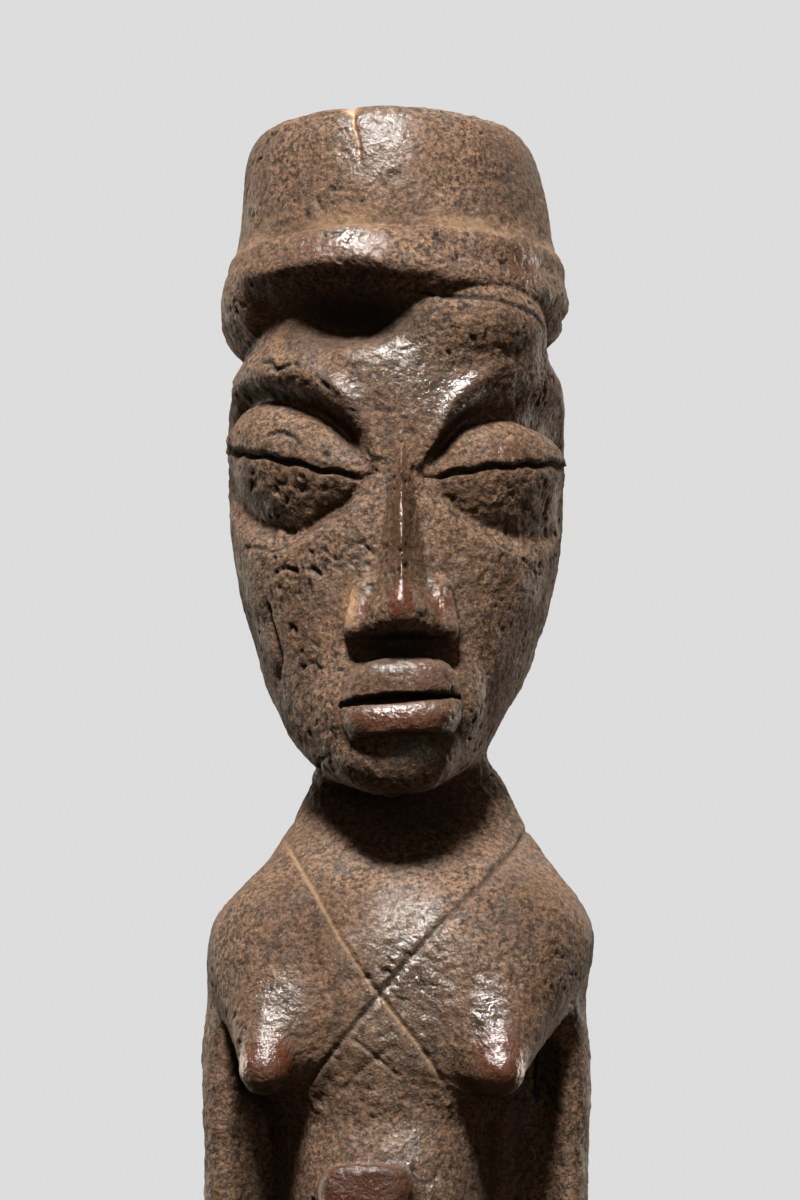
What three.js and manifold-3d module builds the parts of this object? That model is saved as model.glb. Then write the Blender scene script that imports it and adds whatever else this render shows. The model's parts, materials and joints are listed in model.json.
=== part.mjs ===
// A standing fertility doll: one hardwood billet carved into a capped head, a neck, a chest with
// pendulous breasts, arms held close to the sides, a belly with a raised navel, hips and short legs.
// Each carved element is its own closed mesh. Millimetres, +Z up, the face looks towards -Y.
import * as THREE from "three";
import { mergeVertices } from "three/addons/utils/BufferGeometryUtils.js";
import Module from "manifold-3d";

const wasm = await Module();
wasm.setup();

// ---------- driving dimensions, in millimetres and degrees ----------
const clearance = 0.3; // gap left between neighbouring elements
const segments = 28; // sides of a body element's section

const footHeight = 12;
const calfLength = 34;
const thighLength = 38;
const pelvisHeight = 28;
const bellyHeight = 40;
const chestHeight = 38;
const neckHeight = 24;
const headHeight = 66; // neck top to brim seat
const chinDrop = 15.4; // how far the jaw hangs below the neck top
const brimHeight = 9; // at the front
const brimDroop = 5; // how far the brim's sides hang below its seat
const crownHeight = 23;

const legSpacing = 25; // between the two legs' centre lines
const kneeBend = 4; // how far forward the bent knees stand
const stance = { toe: 26, heel: 12.5, width: 9.8 }; // one foot's reach from its ankle
const shoulderHalf = 29.4; // outer half width at the shoulders
const armHalf = 27.2; // an arm's centre line from the middle plane
const armThick = 3.5; // half thickness of an arm, side to side
const webThick = 7; // wood left between an arm and the trunk, front to back
const bodyTurn = -5.5; // the trunk's turn about the upright axis, against the head

const crownRadius = 25.2; // where the crown meets the brim
const crownTaper = 2.9; // how much narrower it is below its rounded edge
const crownEdge = 6; // radius of the rounded top edge
const crownBack = 1.5; // the crown's centre lies this far behind the axis
const brimReach = 2.2; // how far the brim stands out past the crown
const crackWidth = 0.8;
const crackDepth = 4;
const crackLength = 12;
const crackAngle = -16; // round the crown from the front, towards -X

const headHalf = 27.4; // widest half width, at the cheekbones
const noseHalf = 9.4;
const noseLength = 32;
const noseReach = 9.6; // the nose tip in front of the cheeks
const lipHalf = 9.3;
const upperLipHeight = 6.6;
const lowerLipHeight = 4.6;
const lipReach = 6.6;
const mouthGap = 0.9;
const eyeHalf = 10.2;
const eyeHeight = 5.4; // half height of the closed lids
const eyeSpread = 17.4; // an eye's centre from the middle plane
const eyeSlit = 0.7;
const socketDepth = 2.6;
const browThick = 2.4;
const earHeight = 15;
const earReach = 1.9; // how far an ear stands out from the side of the head

const navelHalf = 6.6;
const navelHeight = 13;
const navelReach = 4.6; // in front of the belly
const breastSpread = 18.9; // a breast's centre line from the middle plane
const breastTop = 14.6; // radius where it leaves the shoulder
const breastTip = 4.2; // radius at the nipple
const breastDrop = 24; // from its top centre to its tip centre
const fingerGroove = 0.8;

// ---------- levels, from the ground up ----------
const level = { ground: 0 };
level.ankle = level.ground + footHeight;
level.knee = level.ankle + calfLength;
level.crotch = level.knee + thighLength;
level.waist = level.crotch + pelvisHeight;
level.ribs = level.waist + bellyHeight;
level.neckBase = level.ribs + chestHeight;
level.neckTop = level.neckBase + neckHeight;
level.chin = level.neckTop - chinDrop;
level.brimSeat = level.neckTop + headHeight;
level.crownSeat = level.brimSeat + brimHeight;
level.top = level.crownSeat + crownHeight;

// ---------- shape helpers ----------
const radians = THREE.MathUtils.degToRad;

// The smooth value of one ring field at a height, through the rings as a non-uniform Catmull-Rom spline.
function along(rings, field, z) {
  const last = rings.length - 1;
  const value = (i) => rings[i][field] ?? 0;
  if (z <= rings[0].z) return value(0);
  if (z >= rings[last].z) return value(last);
  let i = 0;
  while (rings[i + 1].z < z) i += 1;
  const slope = (a, b) => (value(b) - value(a)) / (rings[b].z - rings[a].z);
  const here = slope(i, i + 1);
  const before = i > 0 ? slope(i - 1, i + 1) : here;
  const after = i + 1 < last ? slope(i, i + 2) : here;
  const span = rings[i + 1].z - rings[i].z;
  const t = (z - rings[i].z) / span;
  const rise = value(i + 1) - value(i);
  return (
    value(i) +
    rise * t * t * (3 - 2 * t) +
    span * t * (1 - t) * (before * (1 - t) - after * t)
  );
}

// A closed solid through rings of half widths. Each ring has z, side, front and back, and may have a
// centre (x, y), a turn in degrees and a squareness, where 2 is an ellipse and more is boxier.
function column(rings, { grow = 0, rows = 8, sides = segments } = {}) {
  const shape = new THREE.CylinderGeometry(1, 1, 1, sides, rows);
  const at = shape.attributes.position;
  const low = rings[0].z;
  const high = rings[rings.length - 1].z;
  for (let i = 0; i < at.count; i += 1) {
    const share = at.getY(i) + 0.5;
    const z = low + share * (high - low);
    const spread = Math.hypot(at.getX(i), at.getZ(i));
    const angle = Math.atan2(at.getX(i), -at.getZ(i));
    const power = along(rings, "square", z) || 2;
    const depth = along(rings, Math.cos(angle) < 0 ? "back" : "front", z) + grow;
    const side = along(rings, "side", z) + grow;
    const reach = Math.pow(
      Math.pow(Math.abs(Math.sin(angle)) / side, power) +
        Math.pow(Math.abs(Math.cos(angle)) / depth, power),
      -1 / power,
    );
    const turn = radians(along(rings, "turn", z));
    const x = along(rings, "x", z) + spread * reach * Math.sin(angle);
    const y = along(rings, "y", z) - spread * reach * Math.cos(angle);
    at.setXYZ(
      i,
      x * Math.cos(turn) - y * Math.sin(turn),
      x * Math.sin(turn) + y * Math.cos(turn),
      z + (2 * share - 1) * grow,
    );
  }
  return turned(shape);
}

// CylinderGeometry's faces point inwards once its angle runs the other way, so each is turned round.
function turned(shape) {
  const index = shape.index;
  for (let i = 0; i < index.count; i += 3) {
    const second = index.getX(i + 1);
    index.setX(i + 1, index.getX(i + 2));
    index.setX(i + 2, second);
  }
  return shape;
}

// A sealed manifold-3d solid of a closed geometry.
function solid(geometry) {
  const bare = new THREE.BufferGeometry();
  bare.setAttribute("position", geometry.attributes.position.clone());
  if (geometry.index) bare.setIndex(geometry.index.clone());
  const merged = mergeVertices(bare, 1e-4);
  const made = new wasm.Manifold(
    new wasm.Mesh({
      numProp: 3,
      vertProperties: new Float32Array(merged.attributes.position.array),
      triVerts: new Uint32Array(merged.index.array),
    }),
  );
  if (made.volume() < 0) throw new Error("a solid is inside out");
  return made;
}

// The three.js geometry of a manifold-3d solid.
function geometryOf(shape) {
  const mesh = shape.getMesh();
  return new THREE.BufferGeometry()
    .setAttribute("position", new THREE.BufferAttribute(new Float32Array(mesh.vertProperties), 3))
    .setIndex(new THREE.BufferAttribute(new Uint32Array(mesh.triVerts), 1));
}

const join = (first, ...others) => others.reduce((whole, next) => whole.add(next), first);
const cut = (first, ...others) => others.reduce((whole, next) => whole.subtract(next), first);

// An ellipsoid at a place, leaning by an Euler turn.
function ellipsoid([rx, ry, rz], [x, y, z], lean = [0, 0, 0], detail = [20, 10]) {
  const ball = new THREE.SphereGeometry(1, ...detail);
  const place = new THREE.Matrix4().compose(
    new THREE.Vector3(x, y, z),
    new THREE.Quaternion().setFromEuler(new THREE.Euler(...lean)),
    new THREE.Vector3(rx, ry, rz),
  );
  return solid(ball.applyMatrix4(place));
}

function box([width, depth, height], [x, y, z], lean = [0, 0, 0]) {
  const block = new THREE.BoxGeometry(width, depth, height);
  block.applyMatrix4(new THREE.Matrix4().makeRotationFromEuler(new THREE.Euler(...lean)));
  return solid(block.translate(x, y, z));
}

// A round cone with domed ends, from a centre and radius to another.
function roundCone(from, fromRadius, to, toRadius) {
  const start = new THREE.Vector3(...from);
  const path = new THREE.Vector3(...to).sub(start);
  const arc = (radius, middle, first, last) =>
    Array.from({ length: 6 }, (_, i) => {
      const a = first + ((last - first) * i) / 5;
      return new THREE.Vector2(Math.max(0, radius * Math.cos(a)), middle + radius * Math.sin(a));
    });
  const profile = [
    ...arc(fromRadius, 0, -Math.PI / 2, 0),
    ...arc(toRadius, path.length(), 0, Math.PI / 2),
  ];
  profile[0].x = 0;
  profile[profile.length - 1].x = 0;
  const shape = new THREE.LatheGeometry(profile, 24);
  const up = new THREE.Vector3(0, 1, 0);
  shape.applyQuaternion(
    new THREE.Quaternion().setFromUnitVectors(up, path.clone().normalize()),
  );
  return solid(shape.translate(...start.toArray()));
}

// A point of the trunk's own frame, turned with the trunk.
function trunkPoint([x, y, z]) {
  const a = radians(bodyTurn);
  return [x * Math.cos(a) - y * Math.sin(a), x * Math.sin(a) + y * Math.cos(a), z];
}

// The part of a ring list between two levels, closed by rings worked out at both ends.
function between(rings, low, high) {
  const fields = ["side", "front", "back", "square", "x", "y", "turn"];
  const ringAt = (z) =>
    Object.fromEntries([["z", z], ...fields.map((f) => [f, along(rings, f, z)])]);
  const inner = rings.filter((r) => r.z > low + 0.5 && r.z < high - 0.5);
  return [ringAt(low), ...inner, ringAt(high)];
}

const half = clearance / 2;

// ---------- the trunk's rings, shared by neck, chest, belly and pelvis ----------
const square = 2.3;
const trunkRings = [
  { z: level.crotch, side: 23, front: 15, back: 17, square, turn: bodyTurn },
  { z: level.crotch + pelvisHeight * 0.45, side: 24.5, front: 19, back: 23, square, turn: bodyTurn },
  { z: level.waist, side: 22, front: 22.5, back: 16.5, square, turn: bodyTurn },
  { z: level.waist + bellyHeight * 0.45, side: 20.4, front: 25, back: 15.5, square, turn: bodyTurn },
  { z: level.ribs, side: 20.8, front: 23.4, back: 16, square, turn: bodyTurn },
  { z: level.ribs + chestHeight * 0.36, side: shoulderHalf - 4, front: 22.6, back: 17, square, turn: bodyTurn },
  { z: level.ribs + chestHeight * 0.7, side: shoulderHalf, front: 20, back: 17, square, turn: bodyTurn },
  { z: level.neckBase, side: 23.6, front: 15, back: 15.6, square, turn: bodyTurn },
  { z: level.neckBase + neckHeight * 0.42, side: 16.4, front: 9.4, back: 15, square, turn: bodyTurn },
  { z: level.neckTop, side: 12.6, front: 6.4, back: 14.6, square, turn: 0 },
];
const pelvisRings = between(trunkRings, level.crotch + half, level.waist - half);
const bellyRings = between(trunkRings, level.waist + half, level.ribs - half);
const chestRings = between(trunkRings, level.ribs + half, level.neckBase - half);
const neckRings = between(trunkRings, level.neckBase + half, level.neckTop - half);

// ---------- head and cap ----------
function crown() {
  const straight = crownHeight - crownEdge;
  const shoulder = crownRadius - crownTaper - crownEdge;
  const profile = [
    new THREE.Vector2(0, half),
    new THREE.Vector2(crownRadius, half),
    new THREE.Vector2(crownRadius - crownTaper * 0.35, straight * 0.5),
  ];
  for (let i = 0; i <= 6; i += 1) {
    const a = (Math.PI / 2) * (i / 6);
    profile.push(
      new THREE.Vector2(shoulder + crownEdge * Math.cos(a), straight + crownEdge * Math.sin(a)),
    );
  }
  profile.push(new THREE.Vector2(0, crownHeight));
  const shape = new THREE.LatheGeometry(profile, 48).rotateX(Math.PI / 2);
  const body = solid(shape.translate(0, crownBack, level.crownSeat));
  const a = radians(crackAngle);
  const out = crownRadius - crownTaper;
  const crack = box(
    [crackWidth, 2 * crackDepth, 2 * crackLength],
    [out * Math.sin(a), crownBack - out * Math.cos(a), level.top],
    [0, 0, a],
  );
  return cut(body, crack);
}

// The brim is a thick band. Its lower edge is level in front and behind, and hangs at both sides.
function brim() {
  const outer = crownRadius + brimReach;
  const thick = brimHeight - clearance;
  const profile = [
    [0, half],
    [outer - 3.4, half],
    [outer - 1, thick * 0.12],
    [outer, thick * 0.42],
    [outer - 0.3, thick * 0.78],
    [outer - 1.9, thick + half],
    [0, thick + half],
  ].map(([r, z]) => new THREE.Vector2(r, z));
  const shape = new THREE.LatheGeometry(profile, 48).rotateX(Math.PI / 2);
  const at = shape.attributes.position;
  for (let i = 0; i < at.count; i += 1) {
    const radius = Math.hypot(at.getX(i), at.getY(i));
    const sideways = radius > 0 ? Math.abs(at.getX(i)) / radius : 0;
    const low = 1 - at.getZ(i) / brimHeight;
    const rim = THREE.MathUtils.smoothstep(radius, outer - 8, outer - 3.4);
    at.setZ(i, at.getZ(i) - brimDroop * low * rim * Math.pow(sideways, 3));
  }
  return solid(shape.translate(0, crownBack, level.brimSeat));
}

const jaw = level.chin;
const headSpan = level.brimSeat - half - jaw;
const headRings = [
  { z: jaw, side: 4, front: 5.5, back: 8, y: -17.5, square: 2 },
  { z: jaw + headSpan * 0.04, side: 9.6, front: 8.6, back: 14, y: -17, square: 2 },
  { z: jaw + headSpan * 0.13, side: 15.4, front: 15, back: 20, y: -9.6, square: 2.1 },
  { z: jaw + headSpan * 0.24, side: headHalf - 7.8, front: 21.4, back: 22.6, y: -2, square: 2.2 },
  { z: jaw + headSpan * 0.4, side: headHalf - 3, front: 23.4, back: 25.4, square: 2.2 },
  { z: jaw + headSpan * 0.6, side: headHalf - 0.5, front: 24.4, back: 27.6, square: 2.2 },
  { z: jaw + headSpan * 0.76, side: headHalf, front: 25, back: 28, square: 2.2 },
  { z: jaw + headSpan * 0.9, side: headHalf - 2.4, front: 25, back: 27, square: 2.2 },
  { z: level.brimSeat - half, side: headHalf - 4.6, front: 23.4, back: 25, square: 2.1 },
];
const headShape = (grow = 0) => solid(column(headRings, { grow, rows: 18, sides: 40 }));
const face = along(headRings, "front", jaw + headSpan * 0.45);

// The y of the head's front (facing -1) or back (facing 1) surface at a place.
function headSurface(x, z, facing = -1) {
  const depth = along(headRings, facing < 0 ? "front" : "back", z);
  const power = along(headRings, "square", z);
  const across = Math.min(1, Math.abs(x) / along(headRings, "side", z));
  const reach = depth * Math.pow(1 - Math.pow(across, power), 1 / power);
  return along(headRings, "y", z) + facing * reach;
}

function nose() {
  const foot = jaw + headSpan * 0.31;
  const wing = { back: 6, y: -face + 0.6 };
  const rings = [
    { ...wing, z: foot, side: noseHalf - 1, front: noseReach - 1.4, square: 1.8 },
    { ...wing, z: foot + noseLength * 0.06, side: noseHalf, front: noseReach, square: 1.7 },
    { ...wing, z: foot + noseLength * 0.22, side: noseHalf * 0.8, front: noseReach, square: 1.4 },
    { ...wing, z: foot + noseLength * 0.5, side: 4.6, front: noseReach * 0.72, square: 1.3 },
    { ...wing, z: foot + noseLength, side: 2.4, front: 2.8, square: 1.3 },
  ];
  return solid(column(rings, { rows: 10, sides: 20 }));
}

// The parted lips. Both stand out from the face, and the upper one narrows upwards.
function lips() {
  const mouth = jaw + headSpan * 0.17;
  const lip = (edge, height) => {
    const base = { back: 8, square: 2.8, y: -face + 1.6 };
    const rings = [
      { ...base, z: mouth + edge, side: lipHalf, front: lipReach - 0.6 },
      { ...base, z: mouth + edge + height * 0.4, side: lipHalf - 0.2, front: lipReach },
      { ...base, z: mouth + edge + height, side: lipHalf - 2.2, front: lipReach - 1.8 },
    ];
    if (height < 0) rings.reverse();
    return solid(column(rings, { rows: 4, sides: 20 }));
  };
  return join(lip(mouthGap / 2, upperLipHeight), lip(-mouthGap / 2, -lowerLipHeight));
}

// One side's socket, closed lids and the slit between them.
function eye(side) {
  const z = jaw + headSpan * 0.67;
  const x = side * eyeSpread;
  const skin = headSurface(eyeSpread, z);
  const lean = [0, side * radians(9), side * radians(38)];
  return {
    socket: ellipsoid([eyeHalf + 1.6, socketDepth * 2, eyeHeight + 3], [x, skin - socketDepth, z], lean),
    lids: ellipsoid([eyeHalf, 4.6, eyeHeight], [x, skin + socketDepth, z], lean),
    slit: box([eyeHalf * 1.8, 5, eyeSlit], [x + side * 0.6, skin - 0.4, z - 0.6], lean),
  };
}

// One side's brow, a rounded ridge laid along the skin from the nose root to the temple.
function brow(side) {
  const eyeLevel = jaw + headSpan * 0.67;
  const places = [
    [3, 1.5],
    [8.5, 8],
    [eyeSpread - 1, 12.4],
    [headHalf - 3.6, 10.4],
  ];
  const path = new THREE.CatmullRomCurve3(
    places.map(([x, rise]) => {
      const z = eyeLevel + rise;
      return new THREE.Vector3(side * x, headSurface(x, z) + 0.5, z);
    }),
  );
  const section = new THREE.Shape().absellipse(0, 0, browThick, browThick, 0, 2 * Math.PI);
  const options = { steps: 12, curveSegments: 5, bevelEnabled: false, extrudePath: path };
  return solid(new THREE.ExtrudeGeometry(section, options));
}

function head() {
  const eyes = [eye(-1), eye(1)];
  const socketed = cut(headShape(), ...eyes.map((e) => e.socket));
  const carved = join(
    socketed,
    nose(),
    lips(),
    ...eyes.map((e) => cut(e.lids, e.slit)),
    brow(-1),
    brow(1),
  );
  const neckSocket = solid(column(neckRings, { grow: clearance, rows: 8 }));
  return cut(carved, neckSocket);
}

// A shallow C-shaped ear set flat on the side of the head, behind its widest part.
function ear(side) {
  const z = jaw + headSpan * 0.52;
  const back = 12;
  const power = along(headRings, "square", z);
  const across = Math.pow(1 - Math.pow(back / along(headRings, "back", z), power), 1 / power);
  const skin = across * along(headRings, "side", z);
  const lean = [0, 0, side * radians(-12)];
  const rim = ellipsoid([earReach, 4.6, earHeight / 2], [side * skin, back, z], lean, [16, 10]);
  const bowl = ellipsoid(
    [1.5, 2.2, earHeight / 3.2],
    [side * (skin + earReach), back - 0.8, z + 0.6],
    lean,
    [10, 6],
  );
  return cut(rim, bowl, headShape(clearance));
}

// ---------- trunk ----------
function chest() {
  const breast = (side) => {
    const top = level.neckBase - 14;
    return roundCone(
      trunkPoint([side * (shoulderHalf - breastTop), -5.4, top]),
      breastTop,
      trunkPoint([side * breastSpread, -24.6, top - breastDrop]),
      breastTip,
    );
  };
  const body = join(solid(column(chestRings)), breast(-1), breast(1));
  const above = box([120, 120, 60], [0, 0, level.neckBase - half + 30]);
  return cut(body, above);
}

const bellyShape = (grow = 0) => solid(column(bellyRings, { grow }));
const pelvisShape = (grow = 0) => solid(column(pelvisRings, { grow }));

// The chest enlarged by the clearance all round, to cut what lies against it.
function chestRoom() {
  const shifts = [
    [clearance, 0, 0],
    [-clearance, 0, 0],
    [0, clearance, 0],
    [0, -clearance, 0],
    [0, 0, -clearance],
  ];
  return shifts.reduce((whole, shift) => whole.add(chest().translate(shift)), chest());
}

function belly() {
  return cut(bellyShape(), chestRoom());
}

function navel() {
  const middle = level.waist + bellyHeight * 0.5;
  const reach = along(bellyRings, "front", middle) + navelReach;
  const place = trunkPoint([-1.2, -reach + 6, middle]);
  const knob = column(
    [
      { z: -6, side: navelHalf, front: navelHeight / 2, back: navelHeight / 2, square: 2.6 },
      { z: 4.6, side: navelHalf, front: navelHeight / 2, back: navelHeight / 2, square: 2.6 },
      { z: 6, side: navelHalf - 1.6, front: navelHeight / 2 - 1.6, back: navelHeight / 2 - 1.6, square: 2.6 },
    ],
    { rows: 8, sides: 24 },
  )
    .rotateX(Math.PI / 2)
    .rotateZ(radians(bodyTurn))
    .translate(...place);
  return cut(solid(knob), bellyShape(clearance));
}

// ---------- limbs, for the side -1 or 1 ----------
const wrist = level.waist - 3;
const handLength = 18;

function armRings(side) {
  const top = level.neckBase - 11;
  const elbow = (top + wrist) / 2;
  const turn = bodyTurn * 0.4;
  return [
    { z: wrist, x: side * (armHalf - 1), y: -4, side: armThick, front: 5.6, back: 5.6, turn },
    { z: elbow, x: side * armHalf, y: -1.4, side: armThick, front: 7.4, back: 8, turn },
    { z: (elbow + top) / 2, x: side * armHalf, y: -2, side: armThick, front: 7.2, back: 8, turn },
    { z: top, x: side * (armHalf - 2), y: -1, side: armThick, front: 7.6, back: 9, turn },
  ].map((ring) => ({ square: 2.2, ...ring }));
}

// An arm and the thin wall of wood behind it that was never cut through to free it from the trunk.
function arm(side) {
  const rings = armRings(side);
  const low = wrist + half;
  const high = level.neckBase - 11;
  const limb = solid(column(between(rings, low, high), { sides: 24 }));
  const web = box(
    [armHalf, webThick, high - low - 4],
    [(side * armHalf) / 2, 2, (low + high) / 2 - 2],
  );
  return cut(join(limb, web), chestRoom(), bellyShape(clearance), pelvisShape(clearance));
}

function hand(side) {
  const last = armRings(side)[0];
  const tip = wrist - handLength;
  const made = solid(
    column(
      [
        { ...last, z: tip, side: 2.2, front: 5.4, back: 4 },
        { ...last, z: tip + handLength * 0.3, side: 3, front: 7.6, back: 6.4 },
        { ...last, z: wrist - 4, side: armThick, front: 7.2, back: 6.2 },
        { ...last, z: wrist - half },
      ],
      { rows: 6, sides: 24 },
    ),
  );
  const fingers = [-4, -1, 2].map((shift) =>
    box(
      [2, fingerGroove, handLength * 0.55],
      [side * (armHalf + 2.6), last.y + shift, tip + handLength * 0.2],
    ),
  );
  return cut(made, ...fingers, pelvisShape(clearance));
}

function legRings(side) {
  const x = (side * legSpacing) / 2;
  return [
    { z: level.ankle, x, y: 3, side: 7.4, front: 8.8, back: 9.2 },
    { z: level.ankle + calfLength * 0.55, x, y: 2, side: 9.6, front: 10.8, back: 13.6 },
    { z: level.knee, x, y: -kneeBend, side: 9.2, front: 11.6, back: 10.4 },
    { z: level.knee + thighLength * 0.5, x, y: -kneeBend / 2, side: 10.8, front: 13.4, back: 13 },
    { z: level.crotch, x, side: 11.4, front: 14.4, back: 16 },
  ].map((ring) => ({ square: 2.2, ...ring }));
}

const thigh = (side) =>
  solid(column(between(legRings(side), level.knee + half, level.crotch - half), { sides: 24 }));
const calf = (side) =>
  solid(column(between(legRings(side), level.ankle + half, level.knee - half), { sides: 24 }));

function foot(side) {
  const x = (side * legSpacing) / 2;
  const ankle = legRings(side)[0];
  const sole = { x, y: ankle.y, side: stance.width, front: stance.toe, back: stance.heel, square: 3 };
  const made = solid(
    column(
      [
        { ...sole, z: level.ground },
        { ...sole, z: level.ground + footHeight * 0.45, front: stance.toe - 1 },
        { ...ankle, z: level.ankle - half },
      ],
      { rows: 6, sides: 28 },
    ),
  );
  const toes = [-0.55, -0.18, 0.18, 0.55].map((share) =>
    box(
      [fingerGroove, 12, footHeight],
      [x + share * stance.width, ankle.y - stance.toe, level.ground + footHeight * 0.75],
    ),
  );
  return cut(made, ...toes);
}

// ---------- the figure ----------
const wood = new THREE.MeshStandardMaterial({ color: 0x5c4838, roughness: 0.5, metalness: 0 });
const wornWood = new THREE.MeshStandardMaterial({ color: 0x4f2c1c, roughness: 0.32, metalness: 0 });

const figure = new THREE.Group();

function add(name, shape, material = wood) {
  const mesh = new THREE.Mesh(geometryOf(shape), material);
  mesh.name = name;
  figure.add(mesh);
}

add("crown", crown());
add("brim", cut(brim(), headShape(clearance)));
add("head", head());
add("neck", solid(column(neckRings)));
add("chest", chest());
add("belly", belly());
add("navel", navel(), wornWood);
add("pelvis", pelvisShape());
for (const [name, side] of [
  ["right", -1],
  ["left", 1],
]) {
  add(`${name}_ear`, ear(side));
  add(`${name}_arm`, arm(side));
  add(`${name}_hand`, hand(side));
  add(`${name}_thigh`, thigh(side));
  add(`${name}_calf`, calf(side));
  add(`${name}_foot`, foot(side));
}

// The origin is the middle of the whole figure's footprint, at ground level.
const extent = new THREE.Box3().setFromObject(figure);
const middle = extent.getCenter(new THREE.Vector3());
figure.position.set(-middle.x, -middle.y, -extent.min.z);

export default figure;
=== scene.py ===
"""A carved wooden fertility doll.

The figure is sculpted as one block of wood: a signed-distance field, added to and cut like clay, then
meshed, roughened and divided along the CAD nodes' boundaries. All sculpting is in millimetres, measured
from an upright axis through the head: x to the viewer's right, y away from the viewer, z up from the
soles.
"""

import json
import math
from functools import partial
from itertools import product

import bpy
import numpy as np
import openvdb
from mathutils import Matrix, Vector


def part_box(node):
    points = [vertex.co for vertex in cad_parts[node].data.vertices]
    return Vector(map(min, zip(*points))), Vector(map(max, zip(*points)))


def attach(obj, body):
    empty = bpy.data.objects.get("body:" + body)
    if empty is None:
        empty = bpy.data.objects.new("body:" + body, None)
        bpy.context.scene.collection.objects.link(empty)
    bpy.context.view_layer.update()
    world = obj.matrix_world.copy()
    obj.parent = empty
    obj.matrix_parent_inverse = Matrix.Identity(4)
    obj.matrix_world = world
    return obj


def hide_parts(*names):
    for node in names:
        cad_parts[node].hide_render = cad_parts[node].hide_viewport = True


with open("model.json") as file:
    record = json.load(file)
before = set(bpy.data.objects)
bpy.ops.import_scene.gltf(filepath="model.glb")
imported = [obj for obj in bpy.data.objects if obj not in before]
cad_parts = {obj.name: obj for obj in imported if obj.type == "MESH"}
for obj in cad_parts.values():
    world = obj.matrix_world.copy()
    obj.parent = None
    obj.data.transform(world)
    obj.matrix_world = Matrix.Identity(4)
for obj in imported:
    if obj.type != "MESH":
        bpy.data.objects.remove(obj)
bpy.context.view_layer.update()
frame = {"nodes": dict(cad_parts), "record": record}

MM = 0.001
STEP = 0.4  # voxel size
UNDER_SKIN = 1.5  # how far below the surface a cut piece's cap lies
FAR = 6.0  # the field is only kept true to this distance from the surface
ARC = 25.0  # radius used to lay angles round the head out as lengths
NEAR, WIDE = 2.4, 5.2  # how far out of the wood the painted hollow shade looks
THIN = 1.6  # how far into the wood the edge mask looks
FACE_X = 0.8  # the nose and mouth stand a little to the right of the axis
LIP_BACK = -22.6  # the lips' centre, under the skin
SEAM_DROP = 3.8  # how far the chest's lower edge dips at the front, to miss the tips of the breasts
SIDES = (("left", 1), ("right", -1))


# ---------- places taken from the CAD frame ----------
class Box:
    def __init__(self, node):
        low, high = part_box(node)
        self.low = np.array(low) / MM
        self.high = np.array(high) / MM
        self.centre = (self.low + self.high) / 2
        self.size = self.high - self.low


BOX = {name: Box(name) for name in frame["nodes"]}
CROWN_BACK = 1.5  # the crown's centre stands this far behind the head's axis
AXIS = BOX["crown"].centre - (0, CROWN_BACK, 0)
TOP = BOX["crown"].high[2]
SEAT = BOX["crown"].low[2]  # where the crown rises from the brim
CHIN = BOX["head"].low[2] - 0.4
EYE = CHIN + 0.672 * BOX["head"].size[2]
MOUTH = CHIN + 0.171 * BOX["head"].size[2]
NOSE = CHIN + 0.31 * BOX["head"].size[2]
NECK_LINE = BOX["neck"].low[2]
RIBS = BOX["belly"].high[2]
WAIST = BOX["pelvis"].high[2]
CROTCH = BOX["pelvis"].low[2]
WRIST = BOX["left_arm"].low[2]
KNEE = BOX["left_calf"].high[2]
ANKLE = BOX["left_foot"].high[2]
NAVEL = BOX["navel"].centre[2]
LEG = BOX["left_thigh"].centre[0]  # how far out the legs' middles stand
ARM = (BOX["left_arm"].high[0] + BOX["left_hand"].low[0]) / 2 + 0.6  # and the arms'


# ---------- curves, noise and distance shapes ----------
def curve(points, at):
    """A smooth curve through (place, value) points, read at many places."""
    place, value = np.array(points, float).T
    slope = np.gradient(value, place)
    at = np.asarray(at)
    i = np.clip(np.searchsorted(place, at) - 1, 0, len(place) - 2)
    span = place[i + 1] - place[i]
    t = np.clip((at - place[i]) / span, 0, 1)
    start = (1 + 2 * t) * (1 - t) ** 2 * value[i] + t * (1 - t) ** 2 * span * slope[i]
    end = t * t * (3 - 2 * t) * value[i + 1] + t * t * (t - 1) * span * slope[i + 1]
    return (start + end).astype(np.float32)


def smoothstep(low, high, value):
    t = np.clip((value - low) / (high - low), 0, 1)
    return t * t * (3 - 2 * t)


def smooth_min(a, b, blend):
    if blend <= 0:
        return np.minimum(a, b)
    h = np.clip(blend - np.abs(a - b), 0, None) / blend
    return np.minimum(a, b) - h * h * blend / 4


def smooth_max(a, b, blend):
    return -smooth_min(-a, -b, blend)


def highest(first, *more):
    """The greatest of several fields, place by place: what all the shapes share."""
    for field in more:
        first = np.maximum(first, field)
    return first


def noise(points, size, seed):
    """Smooth random values from -1 to 1, with features about size mm across."""
    place = points / size + seed * 19.7
    cell = np.floor(place).astype(np.int64)
    t = place - cell
    t = t * t * (3 - 2 * t)
    total = np.zeros(len(points))
    for corner in product((0, 1), repeat=3):
        mixed = ((cell + corner) * (73856093, 19349663, 83492791)).sum(axis=1)
        mixed = (mixed ^ (mixed >> 13)) * 1274126177
        value = ((mixed ^ (mixed >> 16)) & 0xFFFF) / 0x7FFF - 1
        total += value * np.prod(np.where(corner, t, 1 - t), axis=1)
    return total


def fractal(points, size, seed, octaves=3):
    """Noise with finer and finer layers on it."""
    layers = [noise(points, size / 2**k, seed + k) / 2**k for k in range(octaves)]
    return sum(layers)


def noise_lines(points, size, seed):
    """Distance in millimetres to a wandering network of lines, where a noise passes zero."""
    reach = 0.25
    here = fractal(points, size, seed, 2)
    steps = [fractal(points + reach * axis, size, seed, 2) - here for axis in np.eye(3)]
    slope = np.sqrt(sum(step * step for step in steps)) / reach
    return np.abs(here) / np.clip(slope, 0.3 / size, None)


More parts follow.
